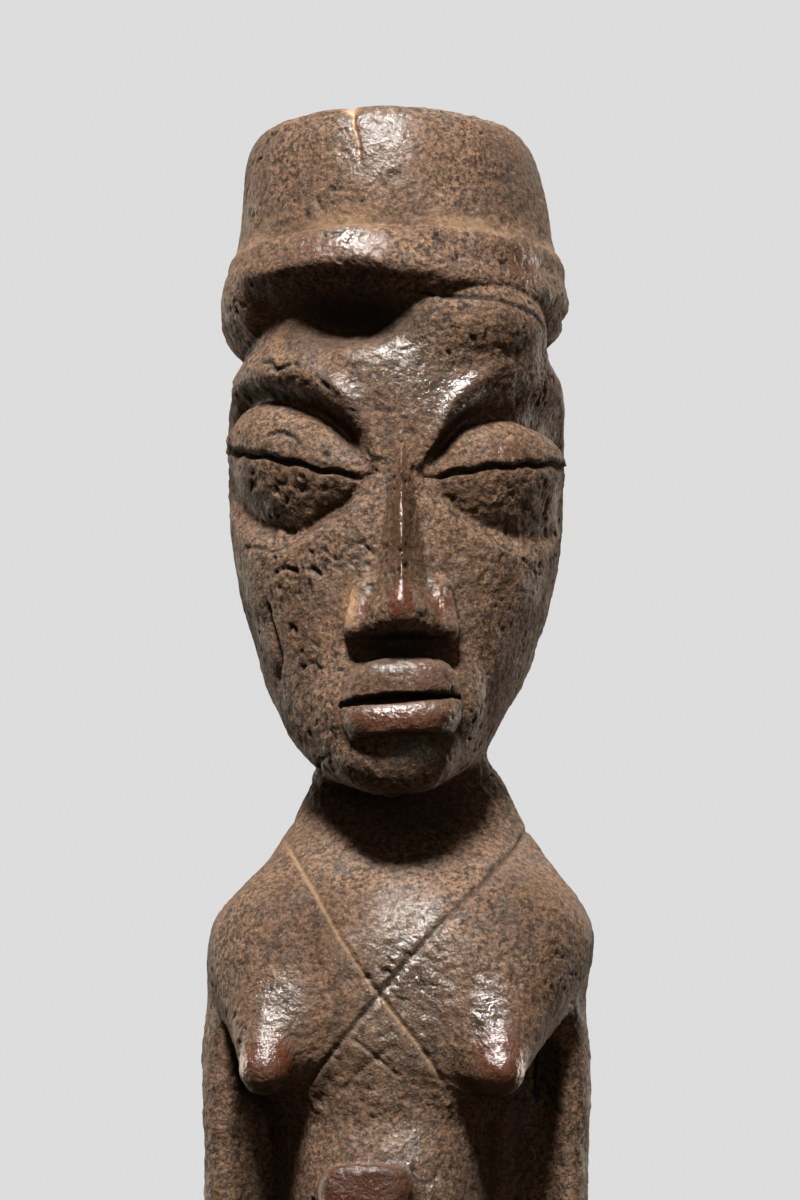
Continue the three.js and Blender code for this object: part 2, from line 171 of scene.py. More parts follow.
def column(x, y, side, front, back, cx=0.0, cy=0.0, square=2.2):
    """Sideways distance to an upright column of that section. Its sizes may be arrays over z."""
    dx = np.abs(x - cx)
    dy = y - cy
    depth = np.where(dy < 0, front, back)
    q = ((dx / side) ** square + (np.abs(dy) / depth) ** square) ** (1 / square)
    r = np.sqrt(dx * dx + dy * dy)
    return (q - 1) * (r + 1e-3) / (q + 1e-3 / side)


def ellipsoid(x, y, z, centre, radii):
    px, py, pz = (v - c for v, c in zip((x, y, z), centre))
    near = np.sqrt((px / radii[0]) ** 2 + (py / radii[1]) ** 2 + (pz / radii[2]) ** 2) + 1e-6
    far = np.sqrt(sum((p / r**2) ** 2 for p, r in zip((px, py, pz), radii))) + 1e-6
    return near * (near - 1) / far


def cone(x, y, z, start, r_start, end, r_end):
    """Distance to a bar with round ends and its own radius at each."""
    start, end = np.array(start, float), np.array(end, float)
    axis = end - start
    rel = [v - s for v, s in zip((x, y, z), start)]
    t = sum(p * a for p, a in zip(rel, axis)) / float(axis @ axis)
    t = np.clip(t, 0, 1)
    gap = np.sqrt(sum((p - t * a) ** 2 for p, a in zip(rel, axis)))
    return gap - (r_start + t * (r_end - r_start))


def block(x, y, z, low, high, rounding):
    """Distance to a box with rounded edges."""
    out = []
    for v, a, b in zip((x, y, z), low, high):
        out.append(np.abs(v - (a + b) / 2) - (b - a) / 2 + rounding)
    outside = np.sqrt(sum(np.clip(d, 0, None) ** 2 for d in out))
    inside = np.clip(highest(*out), None, 0)
    return outside + inside - rounding


def ball(centre, radii):
    return lambda x, y, z: ellipsoid(x, y, z, centre, radii)


def bar(start, r_start, end, r_end):
    return lambda x, y, z: cone(x, y, z, start, r_start, end, r_end)


def slab(low, high, rounding):
    return lambda x, y, z: block(x, y, z, low, high, rounding)


class Clay:
    """A block of signed distances in millimetres, negative inside the wood."""

    def __init__(self, low, high, step):
        self.low = np.array(low, float)
        self.step = step
        self.axes = [np.arange(a, b, step, dtype=np.float32) for a, b in zip(low, high)]
        self.field = np.full([len(axis) for axis in self.axes], FAR, np.float32)

    def cell(self, low, high):
        """The slices and coordinates of the voxels between two corners."""
        cut = tuple(slice(*np.searchsorted(axis, ends)) for axis, *ends in zip(self.axes, low, high))
        return cut, np.ix_(*(axis[part] for axis, part in zip(self.axes, cut)))

    def add(self, low, high, shape, blend=0.0):
        cut, xyz = self.cell(low, high)
        self.field[cut] = smooth_min(self.field[cut], shape(*xyz), blend)

    def cut(self, low, high, shape, blend=0.0):
        cut, xyz = self.cell(low, high)
        self.field[cut] = smooth_max(self.field[cut], -shape(*xyz), blend)

    def raise_skin(self, low, high, relief):
        """Moves the surface out by relief(x, y, z) millimetres."""
        cut, xyz = self.cell(low, high)
        self.field[cut] -= relief(*xyz)

    def level(self):
        """Makes the field a true distance near the surface again."""
        slopes = np.gradient(self.field, self.step)
        steep = np.sqrt(sum(s * s for s in slopes))
        self.field /= np.clip(steep, 0.35, 3.0)
        np.clip(self.field, -FAR, FAR, out=self.field)

    def depth_at(self, points):
        """The field's value at points, by the nearest voxel."""
        index = np.rint((points - self.low) / self.step).astype(int)
        index = [np.clip(index[:, k], 0, self.field.shape[k] - 1) for k in range(3)]
        return self.field[tuple(index)]

    def mesh(self):
        grid = openvdb.FloatGrid(background=FAR)
        grid.copyFromArray(self.field)
        points, triangles, quads = grid.convertToPolygons(isovalue=0.0, adaptivity=0.0)
        halves = [quads[:, [0, 1, 2]], quads[:, [0, 2, 3]]]
        tris = np.concatenate([triangles.reshape(-1, 3), *halves]).astype(np.int64)
        return Surface(points.astype(float) * self.step + self.low, tris)


# ---------- the trunk, neck and head ----------
def trunk(x, y, z):
    up = z - NECK_LINE
    side = curve(
        [(-106, 22.8), (-98, 22.8), (-90, 22), (-78, 19.6), (-68, 18.2), (-59, 17.6),
         (-50, 17.6), (-45, 18), (-40, 19.6), (-35, 22), (-30, 24.4), (-25, 26.8),
         (-20, 28.8), (-14.4, 29.9), (-11, 29.4), (-8, 28), (-4.8, 25.8), (-1.5, 23.4),
         (1.7, 21.2), (5, 19.2), (8, 17.6), (11.4, 16.2), (16, 13.8), (24, 12)], up)
    front = curve(
        [(-106, 15), (-98, 18), (-90, 20), (-78, 22.4), (-68, 24.2), (-59, 24.8),
         (-50, 23.8), (-44, 22.6), (-40, 23), (-35, 23.8), (-25, 23.8), (-15, 22.9),
         (-8, 20.6), (-2, 17), (3, 13.4), (8, 10.4), (16, 7.6), (24, 7)], up)
    back = curve(
        [(-106, 17), (-100, 20), (-93, 21.4), (-86, 20.4), (-78, 18), (-68, 16), (-55, 15),
         (-40, 15.8), (-25, 17.2), (-12, 17.6), (-2, 16.4), (8, 15.4), (24, 15)], up)
    lean = curve([(-100, 0), (-78, -0.6), (-55, -1.6), (-40, -1.4),
                  (-25, 0), (-14, 1), (-4, 1.6), (10, 1.7), (24, 0.6)], up)
    square = curve([(-100, 2.3), (-60, 2.3), (-40, 2.4), (-14, 2.6), (0, 2.2), (24, 2)], up)
    body = column(x, y, side, front, back, cx=lean, square=square)
    return np.maximum(smooth_max(body, CROTCH - 2 - z, 9), z - (NECK_LINE + 26))


def breast(side):
    """One hanging breast. They lean with the trunk, a little towards -x."""
    root = (-16.6, -9, NECK_LINE - 19) if side < 0 else (17.4, -9.4, NECK_LINE - 17)
    tip = (-20.7, -24, NECK_LINE - 36.4) if side < 0 else (16.2, -24.6, NECK_LINE - 36.6)
    return bar(root, 11.8, tip, 3.7)


HEAD = [
    # up from the chin, half width, front, back, middle
    (0, 0.8, -19, -16, -17.5),
    (0.5, 3.2, -22, -13, -17.5),
    (1.2, 5.2, -23.4, -11, -17),
    (2.4, 8, -24.6, -7, -15.6),
    (4, 10.4, -25.2, -2, -13.6),
    (6, 12.7, -25.6, 2.6, -11),
    (8.7, 14.9, -25.4, 7.6, -8),
    (12.7, 17.3, -24.9, 13.6, -5),
    (16.6, 19.2, -24.5, 18, -3),
    (20, 20.8, -24.4, 20.8, -1.8),
    (26.6, 23, -24.3, 24, -0.6),
    (33.4, 25.2, -24.3, 25.8, 0),
    (40.7, 26.6, -24.4, 27, 0.4),
    (48, 27.4, -24.5, 27.8, 0.6),
    (55, 27.9, -24.7, 28, 0.6),
    (62, 28, -25, 28, 0.6),
    (66.5, 27.6, -25.2, 27.8, 0.6),
    (70, 26.4, -25.2, 27.6, 0.6),
    (74, 25.2, -24.6, 27, 0.8),
    (78, 24.6, -23.8, 26.4, 0.9),
    (82, 24.2, -23.4, 25.6, 1),
]


def head_profile(z):
    return [curve([(row[0], row[k]) for row in HEAD], z - CHIN) for k in range(1, 5)]


def head_shape(x, y, z):
    side, front, back, middle = head_profile(z)
    square = curve([(0, 2), (12, 2.15), (40, 2.25), (82, 2.1)], z - CHIN)
    lean = curve([(0, -0.6), (14, -0.7), (22, -0.2), (40, 0), (82, 0)], z - CHIN)
    skull = column(x, y, side, middle - front, back - middle, cx=lean, cy=middle, square=square)
    return highest(skull, CHIN - z, z - (CHIN + 84))


def face_front(z):
    return head_profile(z)[1]


# ---------- the face's relief, by arc length round the head and height from eye level ----------
BROW = {
    # the brow's lower edge, from the nose outwards
    -1: [(2.3, 0.1), (4.7, 3.8), (7.9, 7.6), (12.4, 10.8),
         (16.6, 13), (25.4, 14.2), (33.8, 14.4), (40, 13)],
    1: [(2.6, -2), (5.5, 0.6), (9, 6.6), (12.1, 9.6), (14.6, 11.9),
        (18.8, 13.5), (23.8, 14.6), (35, 14), (40, 12)],
}
LID = {
    # where the eyelid comes out from under the brow
    -1: [(3.6, -0.6), (6.3, 0.4), (9.7, 3.2), (12.1, 5.3),
         (16, 7.2), (20.3, 9.2), (25.7, 10.6), (34, 10.4), (40, 8)],
    1: [(3, -2.5), (8.1, 0.8), (12.1, 4.8), (16, 6), (20.3, 6.8),
        (25.7, 6.4), (31.6, 5.6), (36, 4), (40, 2.5)],
}
SLIT = {
    -1: [(3, -3.2), (6.3, -3.4), (9.7, -3.1), (13.3, -2.2), (20, 0), (29, 2.5), (37, 4.9)],
    1: [(3, -4), (9, -3.3), (14.6, -2), (21, -0.9), (30.4, 0.8), (37, 1.4)],
}
CHEEK = {
    # the upper edge of the cheek, below the eye
    -1: [(3, -3.6), (7.4, -5.6), (9.3, -7.4), (13.3, -9),
         (18.1, -11.2), (25.7, -9.7), (34.5, -3.6), (38, -1)],
    1: [(3, -4.4), (8.5, -6.4), (10.9, -8.4), (14.6, -10.2),
        (19, -11.4), (28, -10.6), (36, -5.4), (40, -3)],
}


def eye_relief(x, y, z):
    """A deep socket from brow to cheek, filled by one long closed eyelid."""
    side = 1 if float(np.mean(x)) > 0 else -1
    arc = np.arctan2(np.abs(x), -y) * ARC
    up = (z - EYE) + np.zeros_like(arc)
    brow, lid, slit, cheek = (curve(line[side], arc) for line in (BROW, LID, SLIT, CHEEK))
    reach = smoothstep(3.2, 9, arc) * (1 - smoothstep(35, 43, arc))
    deep = -3.4 * reach
    crest = curve([(2, -1.4), (6, -1.3), (11, -0.2), (20, 0.9), (28, 1), (36, 0.4), (40, 0)], arc)
    low = curve([(2, -0.6), (6, -2), (9, -3.6), (16, -4.2), (26, -3.2), (33, -1.6), (40, 0)], arc)
    low = low * (0.62 if side > 0 else 0.9)
    by_nose = smoothstep(0.5, 6, arc)
    crest, low = crest * by_nose, low * by_nose
    under_brow = 0.5 * reach + (deep - 0.5 * reach) * smoothstep(0, 0.85, (brow - up) / (brow - lid))
    share = np.clip((lid - up) / (lid - slit), 0, 1)
    upper = deep + (crest - deep) * (1 - (1 - share) ** 2.2) ** 0.62
    share = np.clip((up - cheek) / (slit - cheek), 0, 1)
    lower = low + (crest - 0.4 - low) * (1 - (1 - share) ** 1.5) ** 0.95
    below = low * (1 - smoothstep(0, 4.6, cheek - up))
    above = 0.5 * reach + 0.5 * reach * np.exp(-(((up - brow - 1.8) / 1.7) ** 2))
    above = above * (1 - smoothstep(2.5, 7, up - brow))
    eye = np.where(up > slit, upper, lower)
    eye = np.where(up < cheek, below, np.where(up > lid, under_brow, eye))
    eye = np.where(up > brow, above, eye)
    wide = curve([(4, 0.3), (14, 0.34), (26, 0.5), (38, 0.7)], arc) if side < 0 else 0.36 + 0 * arc
    parted = smoothstep(6.5, 8.5, arc) * (1 - smoothstep(36, 40, arc))
    line = up - slit + 0.2 * np.sin(arc * 1.1)
    return eye - 2.1 * parted * np.exp(-((line / wide) ** 2))


def nose(x, y, z):
    up = z - NOSE
    side = curve([(-1.6, 7), (0.4, 8.2), (3, 8), (7, 6.2), (13, 4.7), (21, 3.5), (27, 2.7), (33, 1.8)], up)
    reach = curve([(-1.6, 8.6), (0.2, 11.2), (2.4, 12.2), (7, 11.4),
                   (13, 9.6), (21, 7.4), (27, 5.4), (33, 2.6)], up)
    square = curve([(-1.6, 1.8), (3, 1.55), (8, 1.22), (33, 1.15)], up)
    ridge = column(x, y, side, reach, 4, cx=FACE_X, cy=face_front(z) + 2.4, square=square)
    return highest(ridge, -1.4 - up, up - 33)


def nose_wing(side):
    left, right = sorted((FACE_X + side * 2, FACE_X + side * 9.2))
    low, high = (left, -28.6, NOSE - 1.3), (right, -20, NOSE + 9)

    def shape(x, y, z):
        lean = 0.16 * (z - NOSE)  # the wings draw in and back as they rise
        return block(x + side * lean, y - 1.2 * lean, z, low, high, 2.3)

    return shape


def mouth_height(x, z):
    """Height from the slit between the lips, which rises a little to the right."""
    return z - MOUTH - 0.07 * (x - FACE_X)


def upper_lip(x, y, z):
    up = mouth_height(x, z)
    side = curve([(0.4, 9.5), (2.4, 9.4), (4.6, 8.6), (6.2, 6.6), (7, 4.4)], up)
    reach = curve([(0.4, 8.5), (3.2, 8.4), (5.6, 7.6), (7, 5.8)], up)
    lip = column(x, y, side, reach, 5, cx=0.7, cy=LIP_BACK, square=2.6)
    return highest(lip, 0.6 - up, up - 6.9)


def lower_lip(x, y, z):
    up = mouth_height(x, z)
    side = curve([(-5.8, 8), (-4, 9.2), (-1, 9.8)], up)
    reach = curve([(-5.8, 7.7), (-5, 8), (-1.3, 8), (-0.8, 7.7)], up)
    lip = column(x, y, side, reach, 5, cx=FACE_X, cy=LIP_BACK, square=2.7)
    return highest(lip, -5.4 - up, up + 0.7 - 0.25 * (y + 30))


def mouth_slit(x, y, z):
    up = mouth_height(x, z)
    gap = curve([(-9.2, 0.35), (-6, 0.6), (0, 0.75), (6, 0.5), (10.4, 0.3)], x)
    return highest(np.abs(up) - gap, y + 24.2, np.abs(x - 0.6) - 9.7)


def ear(side):
    def shape(x, y, z):
        rim = ellipsoid(x, y, z, (side * 22.9, 12.6, EYE - 11.6), (2.3, 4.6, 7.4))
        bowl = ellipsoid(x, y, z, (side * 25.2, 11.6, EYE - 11), (1.9, 2.4, 4.9))
        return smooth_max(rim, -bowl, 0.6)
    return shape


# ---------- the cap ----------
def crown(x, y, z):
    up = z - SEAT
    side = curve([(-6, 27), (0.2, 27.6), (1.2, 26.9), (2.6, 26.3), (4.4, 26), (10, 25.4),
                  (14, 24.9), (17.3, 24.2), (19.6, 23.3), (21.2, 22.2), (22.3, 20.4), (22.9, 18)], up)
    lean = curve([(0, 0), (10, -0.3), (22, -1.3)], up)
    body = column(x, y, side, side, side, cx=lean, cy=CROWN_BACK, square=2)
    return highest(body, up - 22.9, -7 - up)


BRIM = {
    # (height from the crown's seat, radius) down the brim, at angles round it from the front
    -100: [(0.6, 25.2), (-1, 26.8), (-4.5, 28.4), (-8, 28.8),
           (-11, 28.5), (-13.4, 27.2), (-15.4, 25.4), (-18, 23)],
    -64: [(0.6, 25.8), (-1, 27.2), (-4.5, 28.9), (-8, 28.9),
          (-11, 28), (-13.4, 26.4), (-15.4, 24.6), (-18, 22)],
    -52: [(0.6, 28), (-1, 28.9), (-3.5, 29.9), (-6, 30),
          (-7, 29.3), (-10.5, 26.4), (-13.4, 24), (-18, 20)],
    -12: [(0.6, 28.2), (-1, 29.1), (-3.5, 30.3), (-5.7, 30.4),
          (-6.4, 29.8), (-9.8, 26.4), (-13, 23), (-18, 19)],
    2: [(0.6, 28), (-1, 28.7), (-3.5, 29.6), (-7.4, 29.6),
        (-8.2, 28.8), (-10.6, 26.4), (-13, 24), (-18, 19)],
    20: [(0.6, 27.8), (-1, 28.2), (-3.5, 28.6), (-9.4, 28.6),
         (-10.2, 27.6), (-10.9, 26.2), (-13, 24.4), (-18, 20)],
    56: [(0.6, 27.6), (-1, 28.2), (-3.5, 28.5), (-9.2, 28.5),
         (-10.2, 27.4), (-11.4, 26), (-13.4, 24.6), (-18, 22)],
    84: [(0.6, 25.6), (-1, 27.2), (-4.5, 28.6), (-7.8, 28.5),
         (-8.6, 27.8), (-10.4, 27.8), (-13.6, 25.2), (-18, 23)],
    180: [(0.6, 25.4), (-1, 27.6), (-4, 28.2), (-8, 28),
          (-11, 27.2), (-13, 25.6), (-15, 24.5), (-18, 23)],
}
BRIM[-180] = BRIM[180]  # the middle of the back, reached from the other side


def brim(x, y, z):
    """A thick drooping band, undercut at the front left, flat at the front right and round at the sides."""
    up = z - SEAT
    angle = np.degrees(np.arctan2(x + 0.4, -(y - CROWN_BACK)))
    radius = 0
    keys = sorted(BRIM)
    for key, before, after in zip(keys, [None, *keys], [*keys[1:], None]):
        weight = np.ones_like(angle)
        if before is not None:
            weight = weight * smoothstep(before, key, angle)
        if after is not None:
            weight = weight * (1 - smoothstep(key, after, angle))
        radius = radius + weight * curve(BRIM[key][::-1], up)
    r = np.sqrt((x + 0.4) ** 2 + (y - CROWN_BACK) ** 2)
    bottom = -15.5 + 2.5 * smoothstep(60, 95, angle)
    return smooth_max(smooth_max(r - radius, up - 0.6, 0.3), bottom - up, 0.8)


# ---------- limbs, for the side -1 or 1 ----------
def buttock(side):
    return ball((side * 9.6, 10.5, CROTCH + 13), (12, 12.4, 12.5))


def arm(side):
    low, high = WRIST, NECK_LINE - 12

    def shape(x, y, z):
        middle = curve([(low - 4, ARM - 0.8), (low + 20, ARM), (low + 50, ARM + 0.3), (high, ARM - 1.4)], z)
        front = curve([(low - 4, 5.4), (low + 24, 7.4), (low + 50, 8.2), (high, 6)], z)
        thick = curve([(low - 4, 2.9), (low + 30, 3.2), (high - 6, 3.2), (high, 2.4)], z)
        limb = column(x, y, thick, front, 8, cx=side * middle, cy=-1, square=2.2)
        limb = highest(limb, low - 3 - z, z - high)
        ends = sorted((side * 10, side * (ARM + 0.4)))
        web = block(x, y, z, (ends[0], -5.2, low - 15), (ends[1], 6.5, high - 2), 1.5)
        return smooth_min(limb, web, 4)

    return shape


def hand(side):
    def shape(x, y, z):
        out = side * (ARM - 1.2)
        whole = ellipsoid(x, y, z, (out, -2.4, WRIST - 5), (3.1, 6.6, 9))
        for k in range(4):
            at = -7.6 + 3.3 * k
            tip = (out - side * 1.4, at - 0.8, WRIST - 17.4 + 0.7 * abs(k - 1.3))
            finger = cone(x, y, z, (out, at * 0.8 - 0.6, WRIST - 8), 1.9, tip, 1.55)
            whole = smooth_min(whole, finger, 0.6)
        thumb = cone(x, y, z, (out, -6.4, WRIST - 4), 1.9, (out - side * 0.6, -10.4, WRIST - 10.5), 1.5)
        return smooth_min(whole, thumb, 0.8)

    return shape


def leg(side):
    def shape(x, y, z):
        half = curve([(0, 7.4), (ANKLE, 7.4), (ANKLE + 18, 9.6), (KNEE - 3, 9),
                      (KNEE + 4, 9.4), (KNEE + 20, 10.6), (CROTCH, 11.4), (CROTCH + 12, 10.6)], z)
        front = curve([(0, 8.2), (ANKLE, 8.4), (ANKLE + 18, 10.2), (KNEE, 11.8),
                       (KNEE + 18, 13), (CROTCH, 14.6), (CROTCH + 12, 14)], z)
        back = curve([(0, 9), (ANKLE, 9), (ANKLE + 18, 13.4), (KNEE, 10),
                      (KNEE + 18, 12.6), (CROTCH, 16.4), (CROTCH + 12, 15)], z)
        bend = curve([(0, 3), (ANKLE, 3), (ANKLE + 18, 2), (KNEE, -4), (KNEE + 18, -2), (CROTCH + 6, 0)], z)
        body = column(x, y, half, front, back, cx=side * LEG, cy=bend, square=2.2)
        return smooth_max(np.maximum(body, 4 - z), z - (CROTCH + 12), 4)

    return shape


def foot(side):
    low, high = BOX["left_foot"].low - AXIS, BOX["left_foot"].high - AXIS

    def shape(x, y, z):
        middle = side * LEG
        heel = ellipsoid(x, y, z, (middle, high[1] - 9.4, 3.5), (8.2, 9.2, 8.6))
        arch = cone(x, y, z, (middle, 2, 5.6), 7.2, (middle + side * 0.8, low[1] + 11.5, 1.6), 5.6)
        tread = ellipsoid(x, y, z, (middle + side * 0.6, low[1] + 11.4, 2), (9.4, 8.6, 5.4))
        whole = smooth_min(smooth_min(heel, arch, 4), tread, 3)
        for k in range(5):
            at = middle + side * (-7.0 + 3.6 * k)
            reach = low[1] + 2.4 + 0.275 * k * k
            size = 2.5 - 0.16 * k
            root = (at * 0.94 + middle * 0.06, low[1] + 9, 2.6)
            toe = cone(x, y, z, root, size, (at, reach, 1.9), size * 0.9)
            whole = smooth_min(whole, toe, 0.7)
        return np.maximum(whole, -z)

    return shape


# ---------- triangle surfaces ----------
class Surface:
    """A triangle mesh as arrays: points, their normals, masks for the material, and triangles."""

    def __init__(self, points, tris):
        self.points = points
        self.smooth = points  # the same points before they were roughened
        self.tris = tris
        self.masks = {}
        self.find_normals()

    def find_normals(self):
        a, b, c = (self.points[self.tris[:, k]] for k in range(3))
        faces = np.cross(b - a, c - a)
        total = np.zeros_like(self.points)
        for k, axis in product(range(3), range(3)):
            total[:, axis] += np.bincount(self.tris[:, k], faces[:, axis], len(self.points))
        self.normals = total / (np.linalg.norm(total, axis=1, keepdims=True) + 1e-12)

    def turn_outwards(self):
        """Flips every triangle if the mesh is inside out."""
        a, b, c = (self.points[self.tris[:, k]] for k in range(3))
        if np.einsum("ij,ij->i", a, np.cross(b, c)).sum() < 0:
            self.tris = self.tris[:, ::-1].copy()
            self.find_normals()

    def picked(self, tris, extra=None):
        """A surface of some triangles, which may use the extra points too."""
        points, smooth, normals, masks = extra or (self.points, self.smooth, self.normals, self.masks)
        used, index = np.unique(tris, return_inverse=True)
        part = Surface.__new__(Surface)
        part.points = points[used]
        part.smooth = smooth[used]
        part.normals = normals[used]
        part.masks = {name: values[used] for name, values in masks.items()}
        part.tris = index.reshape(-1, 3)
        return part

    def split(self, side):
        """(the part where side(x, y, z) is negative, the rest), cut cleanly between."""
        value = side(*self.smooth.T)
        value = np.where(np.abs(value) < 1e-4, 1e-4, value)
        above = value > 0
        count = above[self.tris].sum(axis=1)
        mixed = self.tris[(count == 1) | (count == 2)]
        if not len(mixed):
            return self.picked(self.tris[count == 0]), self.picked(self.tris[count == 3])
        lone = np.argmax(above[mixed] == (above[mixed].sum(axis=1) == 1)[:, None], axis=1)
        rows = np.arange(len(mixed))
        a, b, c = (mixed[rows, (lone + k) % 3] for k in range(3))
        pairs = np.sort(np.concatenate([np.stack([a, b], 1), np.stack([a, c], 1)]), axis=1)
        edges, place = np.unique(pairs, axis=0, return_inverse=True)
        place = place.reshape(-1)
        t = value[edges[:, 0]] / (value[edges[:, 0]] - value[edges[:, 1]])

        def between(values):
            first, second = values[edges[:, 0]], values[edges[:, 1]]
            weight = t.reshape(-1, *[1] * (values.ndim - 1))
            return np.concatenate([values, first + (second - first) * weight])

        masks = {name: between(values) for name, values in self.masks.items()}
        extra = (between(self.points), between(self.smooth), between(self.normals), masks)
        ab = place[: len(mixed)] + len(self.points)
        ac = place[len(mixed):] + len(self.points)
        tip = np.stack([a, ab, ac], 1)
        base = np.concatenate([np.stack([ab, b, c], 1), np.stack([ab, c, ac], 1)])
        tip_above = above[a]
        base_above = np.tile(~tip_above, 2)
        low = np.concatenate([self.tris[count == 0], tip[~tip_above], base[~base_above]])
        high = np.concatenate([self.tris[count == 3], tip[tip_above], base[base_above]])
        return self.picked(low, extra), self.picked(high, extra)

    def largest(self):
        """The biggest connected part, without crumbs."""
        label = np.arange(len(self.points))
        while True:
            low = label[self.tris].min(axis=1)
            fresh = label.copy()
            for k in range(3):
                np.minimum.at(fresh, self.tris[:, k], low)
            fresh = fresh[fresh]
            if (fresh == label).all():
                break
            label = fresh
        tri_label = label[self.tris[:, 0]]
        labels, sizes = np.unique(tri_label, return_counts=True)
        return self.picked(self.tris[tri_label == labels[np.argmax(sizes)]])

    def close(self):
        """Closes each open edge with a wall that goes under the skin and a fan from its foot."""
        edges = np.concatenate([self.tris[:, [0, 1]], self.tris[:, [1, 2]], self.tris[:, [2, 0]]])
        size = len(self.points)
        forward = edges[:, 0] * size + edges[:, 1]
        backward = edges[:, 1] * size + edges[:, 0]
        rim = edges[~np.isin(forward, backward)]
        follows = {}
        for start, end in rim:
            follows.setdefault(int(start), []).append(int(end))
        points, normals, tris = [self.points], [self.normals], [self.tris]
        masks = {name: [values] for name, values in self.masks.items()}
        while follows:
            first = next(iter(follows))
            loop = [first]
            while True:
                ends = follows[loop[-1]]
                step = ends.pop()
                if not ends:
                    del follows[loop[-1]]
                if step == first:
                    break
                loop.append(step)
            loop = np.array(loop)
            after = np.roll(loop, -1)
            foot = self.points[loop] - UNDER_SKIN * self.normals[loop]
            centre = foot.mean(axis=0)
            around = np.cross(foot - centre, np.roll(foot, -1, axis=0) - centre).sum(axis=0)
            around /= np.linalg.norm(around) + 1e-9
            inner = size + np.arange(len(loop))
            inner_after = np.roll(inner, -1)
            hub = np.full(len(loop), size + len(loop))
            points += [foot, centre[None]]
            normals.append(np.tile(-around, (len(loop) + 1, 1)))
            for name in masks:
                masks[name].append(np.zeros(len(loop) + 1))
            tris.append(np.stack([after, loop, inner], 1))
            tris.append(np.stack([after, inner, inner_after], 1))
            tris.append(np.stack([inner_after, inner, hub], 1))
            size += len(loop) + 1
        self.points = np.concatenate(points)
        self.normals = np.concatenate(normals)
        self.tris = np.concatenate(tris)
        self.masks = {name: np.concatenate(values) for name, values in masks.items()}


# ---------- sculpting the whole figure ----------
def navel(x, y, z):
    up = z - NAVEL
    side = curve([(-7.2, 5.6), (-5, 7.0), (0, 7.4), (4.6, 6.9), (6.6, 5.6)], up)
    knob = column(x, y, side, 5.6, 6, cx=-4.9, cy=-23.2, square=3.2)
    return smooth_max(knob, np.abs(up + 0.1) - 6.8, 1.6)


def across(side, inner, outer):
    """The lower and upper x of a band on one side of the axis."""
    return sorted((side * inner, side * outer))


